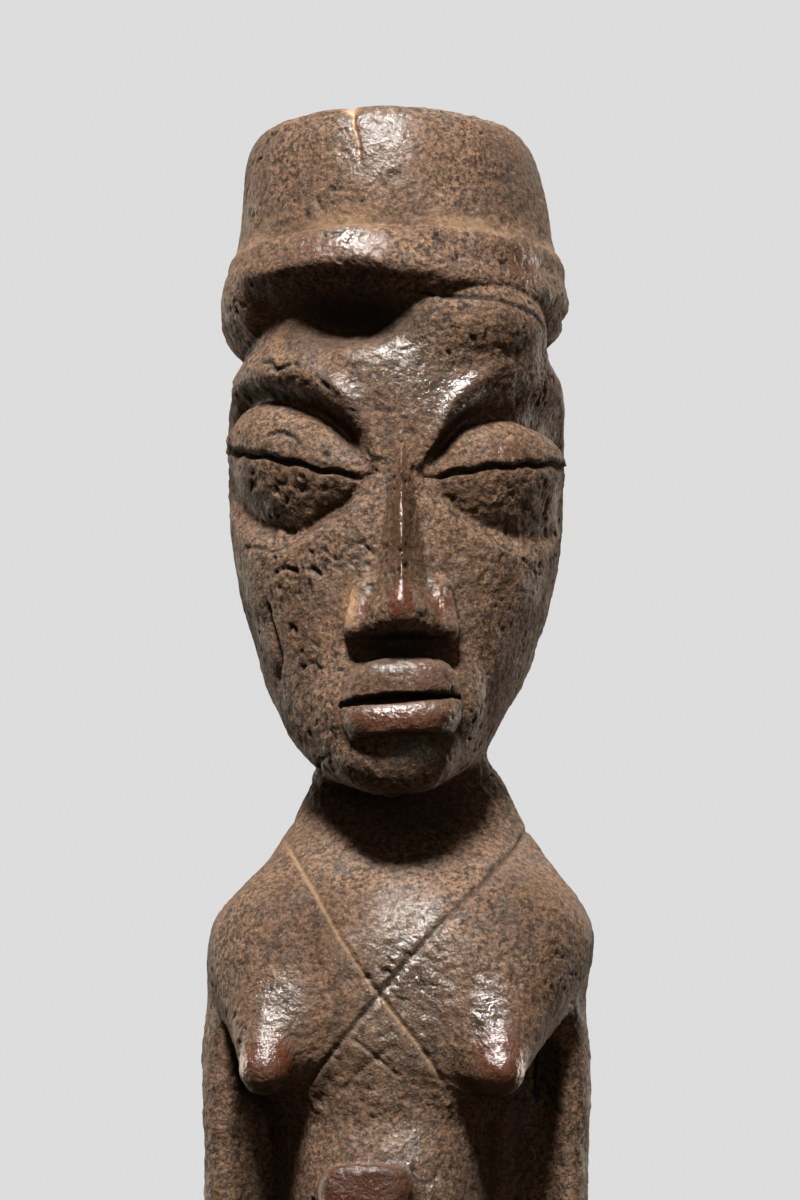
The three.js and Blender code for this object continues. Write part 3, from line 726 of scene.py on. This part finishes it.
def sculpt():
    """The whole figure. Each shape is worked between two corners and blended over so many millimetres."""
    clay = Clay((-34.0, -39.0, -3.0), (34.0, 33.0, TOP + 3), STEP)

    clay.add((-32, -34, CHIN - 4), (32, 33, SEAT + 2), head_shape)
    clay.cut((-26, -34, SEAT - 24), (6, -10, SEAT - 4),
             ball((-10, -37.5, SEAT - 13.0), (19.5, 19.8, 8.2)), 2)
    clay.level()
    for side in (-1, 1):
        left, right = across(side, 0.01, 32)
        clay.raise_skin((left, -34, EYE - 20), (right, 4, EYE + 20), eye_relief)
    clay.add((-14, -39, NOSE - 5), (14, -14, NOSE + 38), nose, 0.8)
    for side in (-1, 1):
        clay.add((-14, -36, NOSE - 6), (14, -16, NOSE + 11), nose_wing(side), 1.4)
    clay.cut((-14, -40, NOSE - 6), (14, -18, NOSE + 2),
             slab((-10, -44, NOSE - 7), (11.6, -25.0, NOSE - 0.9), 0.4), 0.4)
    clay.add((-18, -32, MOUTH - 14), (20, -14, MOUTH + 14),
             ball((FACE_X, -20.6, MOUTH), (12.5, 6.0, 9.0)), 5)
    clay.add((-14, -36, MOUTH - 3), (16, -16, MOUTH + 11), upper_lip, 0.5)
    clay.add((-14, -36, MOUTH - 9), (16, -16, MOUTH + 3), lower_lip, 0.5)
    clay.cut((-14, -40, MOUTH - 4), (16, -18, MOUTH + 4), mouth_slit, 0.2)
    clay.add((-12, -34, CHIN - 3), (12, -12, CHIN + 14), ball((0.2, -22.4, CHIN + 4.6), (8, 4.6, 4.2)), 4)
    for side in (-1, 1):
        clay.add((side * 26 - 8, 0, EYE - 26), (side * 26 + 8, 24, EYE + 2), ear(side), 0.6)
    clay.add((-16, -34, SEAT - 32), (34, -4, SEAT - 4), ball((9.5, -11.5, SEAT - 14), (15, 14.6, 11)), 3)
    clay.add((-34, -36, SEAT - 24), (34, 34, SEAT + 4), brim, 0.25)
    clay.add((-30, -30, SEAT - 8), (30, 33, TOP + 2), crown, 0.3)

    clay.add((-34, -30, CROTCH - 4), (34, 30, NECK_LINE + 28), trunk, 2.2)
    for side in (-1, 1):
        left, right = across(side, 2, 34)
        clay.add((left - 6, -34, NECK_LINE - 46), (right + 6, 12, NECK_LINE + 6), breast(side), 9.0)
    for side in (-1, 1):
        left, right = across(side, 4, 34)
        clay.add((left, -16, WRIST - 8), (right, 16, NECK_LINE - 8), arm(side), 2.6)
        clay.add((left, -18, WRIST - 26), (right, 12, WRIST + 8), hand(side), 1.4)
        clay.add((side * 12 - 16, -4, CROTCH - 2), (side * 12 + 16, 32, CROTCH + 32), buttock(side), 4)
    clay.add((-16, -34, NAVEL - 14), (12, -14, NAVEL + 14), navel, 1.2)
    clay.cut((-8, 8, WAIST - 4), (10, 24, NECK_LINE + 6),
             bar((-0.6, 18.2, WAIST + 4), 1.8, (1.2, 19.2, NECK_LINE - 6), 1.8), 3)
    clay.cut((-8, 8, CROTCH - 4), (8, 30, CROTCH + 30),
             bar((0, 25, CROTCH), 2.4, (0, 25, CROTCH + 20), 1.2), 3)

    for side in (-1, 1):
        left, right = across(side, 0.0, 28)
        clay.add((left - 3, -24, 2), (right + 3, 26, CROTCH + 16), leg(side), 4.0)
        clay.add((left - 1, -30, -3), (right + 1, 24, ANKLE + 6), foot(side), 1.6)
    clay.cut((-8, -30, 0), (8, 30, CROTCH - 1), slab((-0.7, -40, -10), (0.7, 40, CROTCH - 3), 0.6), 0.6)
    clay.level()
    clay.cut((-40, -40, -4), (40, 40, 1), lambda x, y, z: z + 0 * x * y)  # flat soles
    return clay


# ---------- cracks, grooves, worn places and painted shade ---
def line_gap(u, v, points):
    """Distance in a plane from places (u, v) to a line through points, and how far along it."""
    best = np.full(len(u), 1e9)
    share = np.zeros(len(u))
    lengths = [math.dist(a, b) for a, b in zip(points, points[1:])]
    run = 0.0
    for (ax, ay), (bx, by), length in zip(points, points[1:], lengths):
        t = np.clip(((u - ax) * (bx - ax) + (v - ay) * (by - ay)) / length**2, 0, 1)
        gap = np.hypot(u - ax - t * (bx - ax), v - ay - t * (by - ay))
        nearer = gap < best
        best = np.where(nearer, gap, best)
        share = np.where(nearer, (run + t * length) / sum(lengths), share)
        run += length
    return best, share


def groove(surface, u, v, points, width, depth, wander, seed):
    """How strongly each point lies in a groove, 0 to 1, and its depth there."""
    gap, share = line_gap(u, v, points)
    jitter = wander * noise(surface.points, 1.6, seed)
    ends = smoothstep(0, 0.06, share) * smoothstep(1, 0.94, share)
    hit = np.exp(-(((gap + jitter) / width) ** 2)) * (0.35 + 0.65 * ends)
    return hit, hit * depth


FRONT_CUTS = [
    # a line on the front of the chest as (x, z from the neck line), width, depth, dust, dirt
    ([(-18.2, 2), (-12.6, -8.6), (-9.1, -15.1), (-4.5, -22.3), (2.9, -31.7), (8, -39.2)],
     0.42, 0.55, 0.9, 0.1),
    ([(21.8, 5.4), (19.8, 1), (13.9, -6.2), (7, -13.3), (-3.5, -25.6), (-15, -39.9)], 0.4, 0.7, 0.3, 0.7),
    ([(-0.3, -32.5), (-4.5, -35.5), (-9.1, -40)], 0.3, 0.35, 0.6, 0.4),
    ([(-7.2, -31.3), (-3.4, -34.2), (0.2, -37.3)], 0.3, 0.35, 0.6, 0.4),
    ([(-10.4, 14.8), (-14.4, 12), (-16.4, 8.1), (-17.6, 5.2)], 0.45, 0.7, 0, 1),
]
HEAD_CRACKS = [
    # a line round the head as (arc, z from eye level), width, depth, dust, dirt
    ([(-25, 17.2), (-21.4, 16.2), (-20, 14.6), (-16.6, 15.4), (-15.2, 14.2)], 0.28, 0.6, 0, 1),
    ([(-14.6, 11.6), (-12.2, 12.4), (-10.4, 10.2)], 0.26, 0.5, 0, 1),
    ([(-21.5, 3.6), (-19.4, 4.4), (-17, 3.4), (-15.4, 1.6)], 0.26, 0.5, 0, 1),
    ([(-29, -13.2), (-25.4, -13.6), (-22.6, -14.6), (-18, -13.4)], 0.3, 0.5, 0, 1),
    ([(-21.4, -18.6), (-19, -17.8), (-16.4, -19)], 0.24, 0.45, 0, 1),
    ([(-14.4, -18.2), (-12.6, -19.6), (-11.6, -18.6)], 0.24, 0.45, 0, 1),
    ([(-24.6, -22.6), (-24.4, -26.9), (-22.8, -31.7), (-26, -36)], 1, 0.9, 0, 0.3),
    ([(15.6, -12.4), (18.8, -14.4), (23.6, -16.6), (26, -18)], 0.24, 0.5, 0, 1),
    ([(10.2, -6.8), (9.4, -9.4), (11.4, -10.4)], 0.24, 0.4, 0, 1),
    ([(3.6, 26), (9, 25.4), (15.6, 25.2), (22, 24), (27, 21.4)], 0.3, 0.5, 0, 1),
    ([(25.6, 21), (27.6, 17), (29.4, 14.4)], 0.28, 0.4, 0, 1),
]
CROWN_CRACK = [(-7.3, 24), (-7, 19), (-6.2, 15.5), (-5.9, 11.5)]  # (x, z from the crown's seat)

WORN = [
    # centre from the head's axis, reach along x, y and z, strength
    ((0.8, -34.4, NOSE + 4), (2.6, 4, 4.6), 1),
    ((7.6, -30, NOSE + 4.4), (2.6, 4, 3.8), 0.9),
    ((-5.6, -30, NOSE + 3.6), (2.4, 4, 3), 0.4),
    ((0.8, -30.4, MOUTH - 3.4), (10.5, 4, 3), 0.8),
    ((4.6, -30.4, MOUTH + 3.6), (5.5, 4, 3.4), 0.3),
    ((-20.4, -26, NECK_LINE - 35), (5.2, 6, 5.2), 0.9),
    ((16.4, -26.6, NECK_LINE - 35), (4.8, 6, 5.6), 1),
    ((-4.9, -27.4, NAVEL), (9.5, 6, 8.8), 0.85),
    ((-13.5, -24.5, SEAT - 2.8), (8.5, 6, 3.4), 0.4),
    ((-5, -28.6, SEAT - 3), (4, 5, 3.4), 0.4),
    ((21, -17, SEAT - 4.2), (5, 6, 4.6), 0.55),
    ((16.4, -20.4, EYE + 11.4), (7.5, 6, 4.4), 0.25),
    ((18, -20, EYE + 1.2), (3.6, 5, 1.8), 0.4),
]
SHINE = [
    # dark places rubbed to a gloss, in the same terms
    ((0.8, -31, NOSE + 15), (2.2, 8, 19), 1),
    ((0.8, -28, NOSE + 9), (6.5, 8, 12), 0.55),
    ((8, -25.5, EYE + 10), (7.5, 5, 7), 0.95),
    ((0.5, -25.5, EYE + 15), (8, 5, 5), 0.6),
    ((-8, -25.5, EYE + 9.6), (4, 5, 3.6), 0.7),
    ((-8, -28.5, SEAT - 1.6), (4.5, 5, 3), 0.9),
    ((-3.4, -24, TOP - 6), (7.5, 8, 9), 0.6),
    ((2.4, -25, CHIN + 5), (6, 5, 2.6), 0.9),
    ((0, -31, MOUTH + 5.4), (6, 4, 2), 0.7),
    ((14.6, -26, NECK_LINE - 28), (3.4, 6, 9), 1),
    ((-18.6, -26, NECK_LINE - 28), (5, 7, 8), 0.8),
    ((2, -21.5, NECK_LINE - 24), (9, 9, 19), 0.7),
    ((4, -25, NECK_LINE - 54), (7, 6, 16), 0.6),
    ((-4.9, -28, NAVEL + 5.6), (7, 5, 2.4), 1),
]
PAINTED_SHADE = [
    # painted shade: colour darkened where shadow falls, under the brim, nose and chin, on the upper lip,
    # the upper chest's sides, the belly's right and the cap's right
    ((-10, -23, SEAT - 14), (19, 8, 6), 1),
    ((1, -9, CHIN - 1), (13, 14, 9), 0.8),
    ((0.4, -23, CHIN + 5), (11, 6, 6.4), 0.5),
    ((0.8, -26.5, NOSE - 2.4), (10, 5, 3.8), 1),
    ((0.8, -29.5, MOUTH + 3.4), (10, 5, 3.8), 0.6),
    ((-15, -18, NECK_LINE - 13), (9, 12, 12), 0.42),
    ((18, -16, NECK_LINE - 13), (9, 12, 12), 0.45),
    ((13, -20, NAVEL), (6, 9, 22), 0.55),
    ((19, -14, SEAT + 11), (11, 16, 14), 0.3),
]


def within(points, places):
    """How strongly points lie inside the places listed, 0 to 1."""
    total = np.zeros(len(points))
    for place, reach, strength in places:
        gap = np.linalg.norm((points - place) / reach, axis=1)
        total = np.maximum(total, strength * np.exp(-((gap / 0.88) ** 4)))
    return total


def weather(surface, clay):
    """Roughens the smooth sculpture and works out the masks its material reads."""
    p, n = surface.points, surface.normals
    x, y, z = p.T
    arc = np.arctan2(x, -y) * ARC
    front = (y < 4) & (n[:, 1] < 0.35)
    # painted shade: how closed in each point is, read from the field outside the wood, darkens the colour
    # in hollows
    open_near = clay.depth_at(p + n * NEAR) / NEAR
    open_wide = clay.depth_at(p + n * WIDE) / WIDE
    hollow_shade = np.clip(1.15 - 0.55 * open_near - 0.6 * open_wide, 0, 1)
    thin = -clay.depth_at(p - n * THIN) / THIN
    edge = np.clip((0.92 - thin) * 2.6, 0, 1) * (1 - hollow_shade)
    on_limbs = (np.abs(x) > 17) & (z < RIBS + 16)
    # painted shade at the listed shaded places, merged into the hollow shade below
    painted_shade = within(p, PAINTED_SHADE)
    hollow_shade = np.maximum(np.where(on_limbs, 0.45 * hollow_shade, hollow_shade), painted_shade)
    worn = np.clip(within(p, WORN) * (1.1 + 0.5 * noise(p, 2.2, 5)), 0, 1)
    shine = np.clip(within(p, SHINE) * (1.0 + 0.4 * noise(p, 3.0, 6)), 0, 1)

    shift = np.zeros(len(p))
    dark = np.zeros(len(p))
    foot_of_crown = smoothstep(-0.3, 0.6, z - SEAT) * (1 - smoothstep(1.6, 5.0, z - SEAT))
    dust = 0.45 * foot_of_crown * smoothstep(-0.4, 0.5, noise(p, 5, 61))
    on_chest = front & (z < NECK_LINE + 14) & (z > RIBS - 8)
    on_head = front & (z > CHIN + 3) & (z < SEAT - 6)
    for lines, here, u, v, wander, seed in (
        (FRONT_CUTS, on_chest, x, z - NECK_LINE, 0.12, 11),
        (HEAD_CRACKS, on_head, arc, z - EYE, 0.3, 21),
    ):
        for k, (points, width, depth, dusty, dirty) in enumerate(lines):
            hit, down = groove(surface, u, v, points, width, depth, wander, seed + k)
            shift -= here * down
            dust = np.maximum(dust, here * hit * dusty)
            dark = np.maximum(dark, here * hit * dirty)
    on_crown = front & (z > SEAT + 6)
    hit, down = groove(surface, x, z - SEAT, CROWN_CRACK, 0.26, 0.6, 0.12, 41)
    shift -= on_crown * down
    chip = np.exp(-((np.hypot(x + 7.3, z - TOP + 1.0) / 0.9) ** 2)) * (y < -8)
    shift -= 0.6 * chip
    fresh = np.clip(on_crown * 0.7 * hit * smoothstep(SEAT + 8, TOP, z) + chip, 0, 1)
    nostril_chip = (-8.0, -27.6, NOSE + 4.4)
    torn = np.linalg.norm((p - nostril_chip) / (1.3, 3.0, 2.8), axis=1)
    fresh = np.maximum(fresh, np.exp(-(torn**2)))

    below_crease = z - (RIBS - 4.6) - 0.02 * (x + 3) ** 2
    crease = np.exp(-((below_crease / 1.8) ** 2)) * (np.abs(x + 2) < 14) * front
    rough = np.clip(0.65 + 0.5 * noise(p, 14, 3) + 0.5 * crease, 0.2, 1) * (1 - 0.8 * worn)
    cap_foot = np.exp(-(((z - SEAT - 2.5) / 2.2) ** 2))
    rough = np.clip(rough + 0.4 * cap_foot, 0, 1)
    facets = 0.22 * noise(p, 10, 7) + 0.12 * noise(p, 4.6, 8)
    crust = 0.17 * fractal(p, 1.5, 9)
    plates = 0.14 * smoothstep(0.0, 0.22, fractal(p, 3.4, 15))
    patch = smoothstep(0.05, 0.5, noise(p, 9, 33) + 0.3 * (x < 0) * (z < EYE) * (z > MOUTH))
    pits = smoothstep(0.6, 0.8, fractal(p, 1.2, 31, 2)) * (0.4 + 0.6 * patch)
    thread = np.exp(-((noise_lines(p, 3.6, 51) / 0.2) ** 2))
    thread *= smoothstep(0.2, 0.45, noise(p, 3.1, 55)) * patch * (1 - hollow_shade)
    pits *= 1 - 0.85 * hollow_shade
    dark = np.clip(np.maximum(dark, np.maximum(0.8 * pits, thread)) * (1 - 0.7 * worn), 0, 1)
    # the deepest painted shade also goes into the dark mask
    dark = np.maximum(dark, smoothstep(0.75, 1.0, painted_shade))
    shift += facets * (1 - 0.5 * hollow_shade) + rough * (crust + plates)
    shift -= (0.4 * pits + 0.45 * thread) * (1 - worn) + 0.4 * crease * np.abs(noise(p, 1.8, 44))
    shift *= smoothstep(0.0, 1.2, z)

    surface.points = p + n * shift[:, None]
    surface.find_normals()
    surface.masks = {"hollow_shade": hollow_shade, "edge": edge, "worn": worn, "shine": shine, "dust": dust,
                     "dark": dark, "fresh": fresh}


# ---------- dividing the block into its nodes ----------
def divide(whole):
    """Each CAD node's share of the surface by name, cut a little outside the node's own shape."""
    made = {}
    rest = whole

    def take(name, side):
        nonlocal rest
        part, rest = rest.split(side)
        made[name] = part

    take("crown", lambda x, y, z: SEAT + 0.1 - z)
    take("brim", lambda x, y, z: np.maximum(brim(x, y, z) - 0.3, SEAT - 20 - z))
    for name, side in SIDES:
        take(f"{name}_ear", lambda x, y, z, s=side: ear(s)(x, y, z) - 0.35)

    def limb(side):
        def gap(x, y, z):
            torso = np.minimum(trunk(x, y, z), breast(side)(x, y, z))
            torso = np.minimum(torso, buttock(side)(x, y, z))
            own = np.minimum(arm(side)(x, y, z), hand(side)(x, y, z))
            return highest(own - torso, z - (NECK_LINE - 10), CROTCH + 3 - z, 8 - side * x)
        return gap

    for name, side in SIDES:
        take(f"{name}_arm", limb(side))
        made[f"{name}_hand"], made[f"{name}_arm"] = made[f"{name}_arm"].split(lambda x, y, z: z - WRIST)
    take("head", lambda x, y, z: np.maximum(head_shape(x, y, z) - trunk(x, y, z), CHIN - 3 - z))
    take("neck", lambda x, y, z: NECK_LINE - z)
    take("navel", lambda x, y, z: navel(x, y, z) - 0.45)
    take("chest", lambda x, y, z: RIBS - SEAM_DROP * smoothstep(-8, -18, y) - z)
    take("belly", lambda x, y, z: WAIST - z)
    take("pelvis", lambda x, y, z: CROTCH - z)
    for name, side in SIDES:
        take(f"{name}_thigh", lambda x, y, z, s=side: -s * x)
        foot_part, leg_part = made[f"{name}_thigh"].split(lambda x, y, z: z - ANKLE)
        made[f"{name}_foot"] = foot_part
        made[f"{name}_calf"], made[f"{name}_thigh"] = leg_part.split(lambda x, y, z: z - KNEE)
    return made


# ---------- objects and node trees ----------
def linked(name, data):
    """A new object in the scene."""
    made = bpy.data.objects.new(name, data)
    bpy.context.scene.collection.objects.link(made)
    return made


def new_node(tree, kind, **settings):
    """A node with its settings, where in_Name sets an input."""
    made = tree.nodes.new(kind)
    for key, value in settings.items():
        if key.startswith("in_"):
            made.inputs[key[3:].replace("_", " ")].default_value = value
        else:
            setattr(made, key, value)
    return made


# ---------- materials ----------
def patina(name, worn_colour, gloss):
    """Old oiled hardwood under a dark crust that is glossy in places, with the masks above mixed in."""
    material = bpy.data.materials.new(name)
    material.use_nodes = True
    links = material.node_tree.links
    shader = material.node_tree.nodes["Principled BSDF"]
    node = partial(new_node, material.node_tree)
    place = node("ShaderNodeTexCoord").outputs["Object"]

    def texture(scale, detail=4.0, rough=0.55, stretch=None):
        source = place
        if stretch:
            mapping = node("ShaderNodeMapping", in_Scale=stretch)
            links.new(place, mapping.inputs["Vector"])
            source = mapping.outputs["Vector"]
        made = node("ShaderNodeTexNoise", in_Scale=scale, in_Detail=detail, in_Roughness=rough)
        links.new(source, made.inputs["Vector"])
        return made.outputs["Fac"]

    def mask(attribute):
        return node("ShaderNodeAttribute", attribute_name=attribute).outputs["Fac"]

    def span(value, low, high, to_low=0.0, to_high=1.0):
        made = node("ShaderNodeMapRange", in_From_Min=low, in_From_Max=high, in_To_Min=to_low,
                    in_To_Max=to_high)
        links.new(value, made.inputs["Value"])
        return made.outputs["Result"]

    def maths(operation, first, second):
        made = node("ShaderNodeMath", operation=operation)
        for socket, value in zip(made.inputs, (first, second)):
            if isinstance(value, (int, float)):
                socket.default_value = value
            else:
                links.new(value, socket)
        return made.outputs["Value"]

    def mixed(factor, first, second):
        made = node("ShaderNodeMix", data_type="RGBA")
        links.new(factor, made.inputs["Factor"])
        for socket, value in ((made.inputs[6], first), (made.inputs[7], second)):
            if isinstance(value, tuple):
                socket.default_value = (*value, 1.0)
            else:
                links.new(value, socket)
        return made.outputs[2]

    broad = texture(60, 3.0)
    patches = texture(130, 3.0, 0.6)
    mottled = texture(1200, 5.0, 0.65)
    lumps = texture(700, 4.0, 0.6)
    fine = texture(2200, 3.0, 0.6)
    grain = texture(520, 3.0, 0.6, (1.0, 1.0, 0.12))
    cells = node("ShaderNodeTexVoronoi", in_Scale=900.0)
    links.new(place, cells.inputs["Vector"])
    rubbed = maths("MAXIMUM", mask("worn"), mask("shine"))
    polish = maths("MAXIMUM", span(patches, 0.46, 0.62, 0.0, 0.35), rubbed)

    streaks = texture(420, 2.0, 0.5, (1.0, 1.0, 0.08))
    worn = maths("MULTIPLY", mask("worn"), span(mottled, 0.36, 0.58, 0.6, 1.0))
    colour = mixed(span(mottled, 0.4, 0.58), (0.014, 0.008, 0.0047), (0.106, 0.059, 0.033))
    for share, tint in (
        (span(broad, 0.42, 0.62, 0.0, 0.5), (0.058, 0.028, 0.013)),
        (span(grain, 0.56, 0.7, 0.0, 0.3), (0.014, 0.009, 0.006)),
        (maths("MULTIPLY", polish, 0.78), (0.018, 0.0115, 0.007)),
        (span(streaks, 0.56, 0.68, 0.0, 0.5), (0.014, 0.009, 0.007)),
        (span(fine, 0.58, 0.7, 0.0, 0.55), (0.2, 0.116, 0.062)),
        (span(fine, 0.43, 0.34, 0.0, 0.85), (0.006, 0.004, 0.003)),
        (maths("MULTIPLY", mask("edge"), 0.35), (0.07, 0.03, 0.016)),
        # painted shade: hollows and the listed shaded places darkened
        (span(mask("hollow_shade"), 0.1, 0.75, 0.0, 0.72), (0.016, 0.0085, 0.0045)),
        (worn, worn_colour),
        (maths("MULTIPLY", mask("dust"), 0.8), (0.16, 0.1, 0.058)),
        # dark cracks, pits and dirt lines, with the deepest painted shade
        (mask("dark"), (0.008, 0.005, 0.004)),
        (mask("fresh"), (0.30, 0.17, 0.085)),
    ):
        colour = mixed(share, colour, tint)
    links.new(colour, shader.inputs["Base Color"])

    rough = span(polish, 0.0, 1.0, 0.82, 0.28)
    for more in (
        span(mottled, 0.35, 0.65, 0.08, -0.08),
        span(mask("hollow_shade"), 0.1, 0.8, 0.0, 0.3),
        maths("MULTIPLY", mask("dust"), 0.3),
    ):
        rough = maths("ADD", rough, more)
    links.new(rough, shader.inputs["Roughness"])
    shader.inputs["Specular IOR Level"].default_value = 0.24
    links.new(maths("MULTIPLY", rubbed, gloss), shader.inputs["Coat Weight"])
    shader.inputs["Coat Roughness"].default_value = 0.15

    height = maths("MULTIPLY", lumps, 0.7)
    for relief, share in ((fine, 0.4), (cells.outputs["Distance"], 0.25)):
        height = maths("ADD", height, maths("MULTIPLY", relief, share))
    bump = node("ShaderNodeBump", in_Strength=1.0, in_Distance=0.0004)
    links.new(height, bump.inputs["Height"])
    links.new(bump.outputs["Normal"], shader.inputs["Normal"])
    links.new(bump.outputs["Normal"], shader.inputs["Coat Normal"])
    return material


# ---------- pieces ----------
def make_piece(name, surface, material):
    surface.close()
    mesh = bpy.data.meshes.new(f"{name}_wood")
    points = (surface.points + AXIS * (1, 1, 0)) * MM
    mesh.vertices.add(len(points))
    mesh.vertices.foreach_set("co", points.ravel())
    mesh.loops.add(surface.tris.size)
    mesh.loops.foreach_set("vertex_index", surface.tris.ravel().astype(np.int32))
    mesh.polygons.add(len(surface.tris))
    mesh.polygons.foreach_set("loop_start", np.arange(0, surface.tris.size, 3, dtype=np.int32))
    mesh.update(calc_edges=True)
    mesh.polygons.foreach_set("use_smooth", np.ones(len(surface.tris), bool))
    for mask, values in surface.masks.items():
        layer = mesh.attributes.new(mask, "FLOAT", "POINT")
        layer.data.foreach_set("value", values.astype(np.float32))
    mesh.normals_split_custom_set_from_vertices(surface.normals)
    mesh.materials.append(material)
    piece = linked(f"{name}_wood", mesh)
    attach(piece, "root")
    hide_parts(name)


def carve_figure():
    clay = sculpt()
    whole = clay.mesh()
    whole.turn_outwards()
    whole = whole.largest()
    weather(whole, clay)
    crusted = patina("crusted_wood", (0.05, 0.015, 0.0065), 0.75)
    handled = patina("worn_wood", (0.034, 0.009, 0.0042), 0.15)
    slots = {part["node"]: part["material_slot"] for part in frame["record"]["subparts"]}
    for name, surface in divide(whole).items():
        material = handled if slots[name] == "worn_wood" else crusted
        make_piece(name, surface, material)


# ---------- stage, light and camera ----------
def make_floor():
    mesh = bpy.data.meshes.new("floor")
    half = 1.6
    corners = [(-half, -half, 0), (half, -half, 0), (half, half, 0), (-half, half, 0)]
    mesh.from_pydata(corners, [], [(0, 1, 2, 3)])
    floor = linked("floor", mesh)
    material = bpy.data.materials.new("pale_floor")
    material.use_nodes = True
    shader = material.node_tree.nodes["Principled BSDF"]
    shader.inputs["Base Color"].default_value = (0.16, 0.16, 0.16, 1)
    shader.inputs["Roughness"].default_value = 1.0
    shader.inputs["Specular IOR Level"].default_value = 0.0
    shader.inputs["Emission Color"].default_value = (1, 1, 1, 1)
    shader.inputs["Emission Strength"].default_value = 0.58  # pale even where the lights don't reach
    mesh.materials.append(material)
    floor.visible_diffuse = False  # so it throws no light up at the figure, as a floor far below wouldn't
    floor.visible_glossy = False


LIGHTS = [
    # name, place, size, watts, spread in degrees, colour
    ("key", (-0.12, -0.7, 1.28), (0.26, 0.2), 4.3, 40, (1, 0.98, 0.95)),
    ("fill", (0.35, -0.85, 0.15), (0.4, 0.4), 0.18, 60, (1, 0.86, 0.7)),
    ("left_edge", (-0.7, 0.62, 0.3), (0.12, 0.6), 0.9, 60, (1, 0.88, 0.74)),
    ("right_edge", (0.7, 0.62, 0.3), (0.12, 0.6), 0.9, 60, (1, 0.88, 0.74)),
    ("back", (0.3, 0.7, 1.1), (0.4, 0.3), 0.35, 40, (1, 0.94, 0.86)),
]


def make_lights():
    middle = Vector((0, 0, 0.22))
    for name, place, size, watts, spread, colour in LIGHTS:
        light = bpy.data.lights.new(name, "AREA")
        light.shape = "RECTANGLE"
        light.size, light.size_y = size
        light.energy = watts
        light.spread = math.radians(spread)
        light.color = colour
        lamp = linked(name, light)
        lamp.location = place
        lamp.rotation_euler = (middle - Vector(place)).to_track_quat("-Z", "Y").to_euler()


def make_world():
    """A pale backdrop for the camera and a weak warm glow for everything else."""
    world = bpy.data.worlds.new("studio")
    world.use_nodes = True
    tree = world.node_tree
    backdrop = tree.nodes["Background"]
    backdrop.inputs["Color"].default_value = (0.72, 0.72, 0.72, 1)
    backdrop.inputs["Strength"].default_value = 1.0
    soft = new_node(tree, "ShaderNodeBackground", in_Color=(0.8, 0.64, 0.48, 1), in_Strength=0.1)
    path = new_node(tree, "ShaderNodeLightPath")
    mix = new_node(tree, "ShaderNodeMixShader")
    tree.links.new(path.outputs["Is Camera Ray"], mix.inputs["Fac"])
    tree.links.new(soft.outputs["Background"], mix.inputs[1])
    tree.links.new(backdrop.outputs["Background"], mix.inputs[2])
    tree.links.new(mix.outputs["Shader"], tree.nodes["World Output"].inputs["Surface"])
    bpy.context.scene.world = world


def make_camera():
    camera = bpy.data.cameras.new("camera")
    camera.sensor_fit = "VERTICAL"
    camera.sensor_height = 24
    distance = 0.8
    tall = 0.192  # height of the view at the face
    camera.lens = camera.sensor_height * distance / tall
    viewer = linked("camera", camera)
    target = Vector((AXIS[0] + 0.6, AXIS[1] - 24, CHIN + 30.6)) * MM
    below = math.radians(9.5)
    viewer.location = target + distance * Vector((0, -math.cos(below), -math.sin(below)))
    viewer.rotation_euler = (target - viewer.location).to_track_quat("-Z", "Y").to_euler()
    bpy.context.scene.camera = viewer


bpy.context.scene.view_settings.view_transform = "Standard"
make_floor()
make_lights()
make_world()
make_camera()
carve_figure()
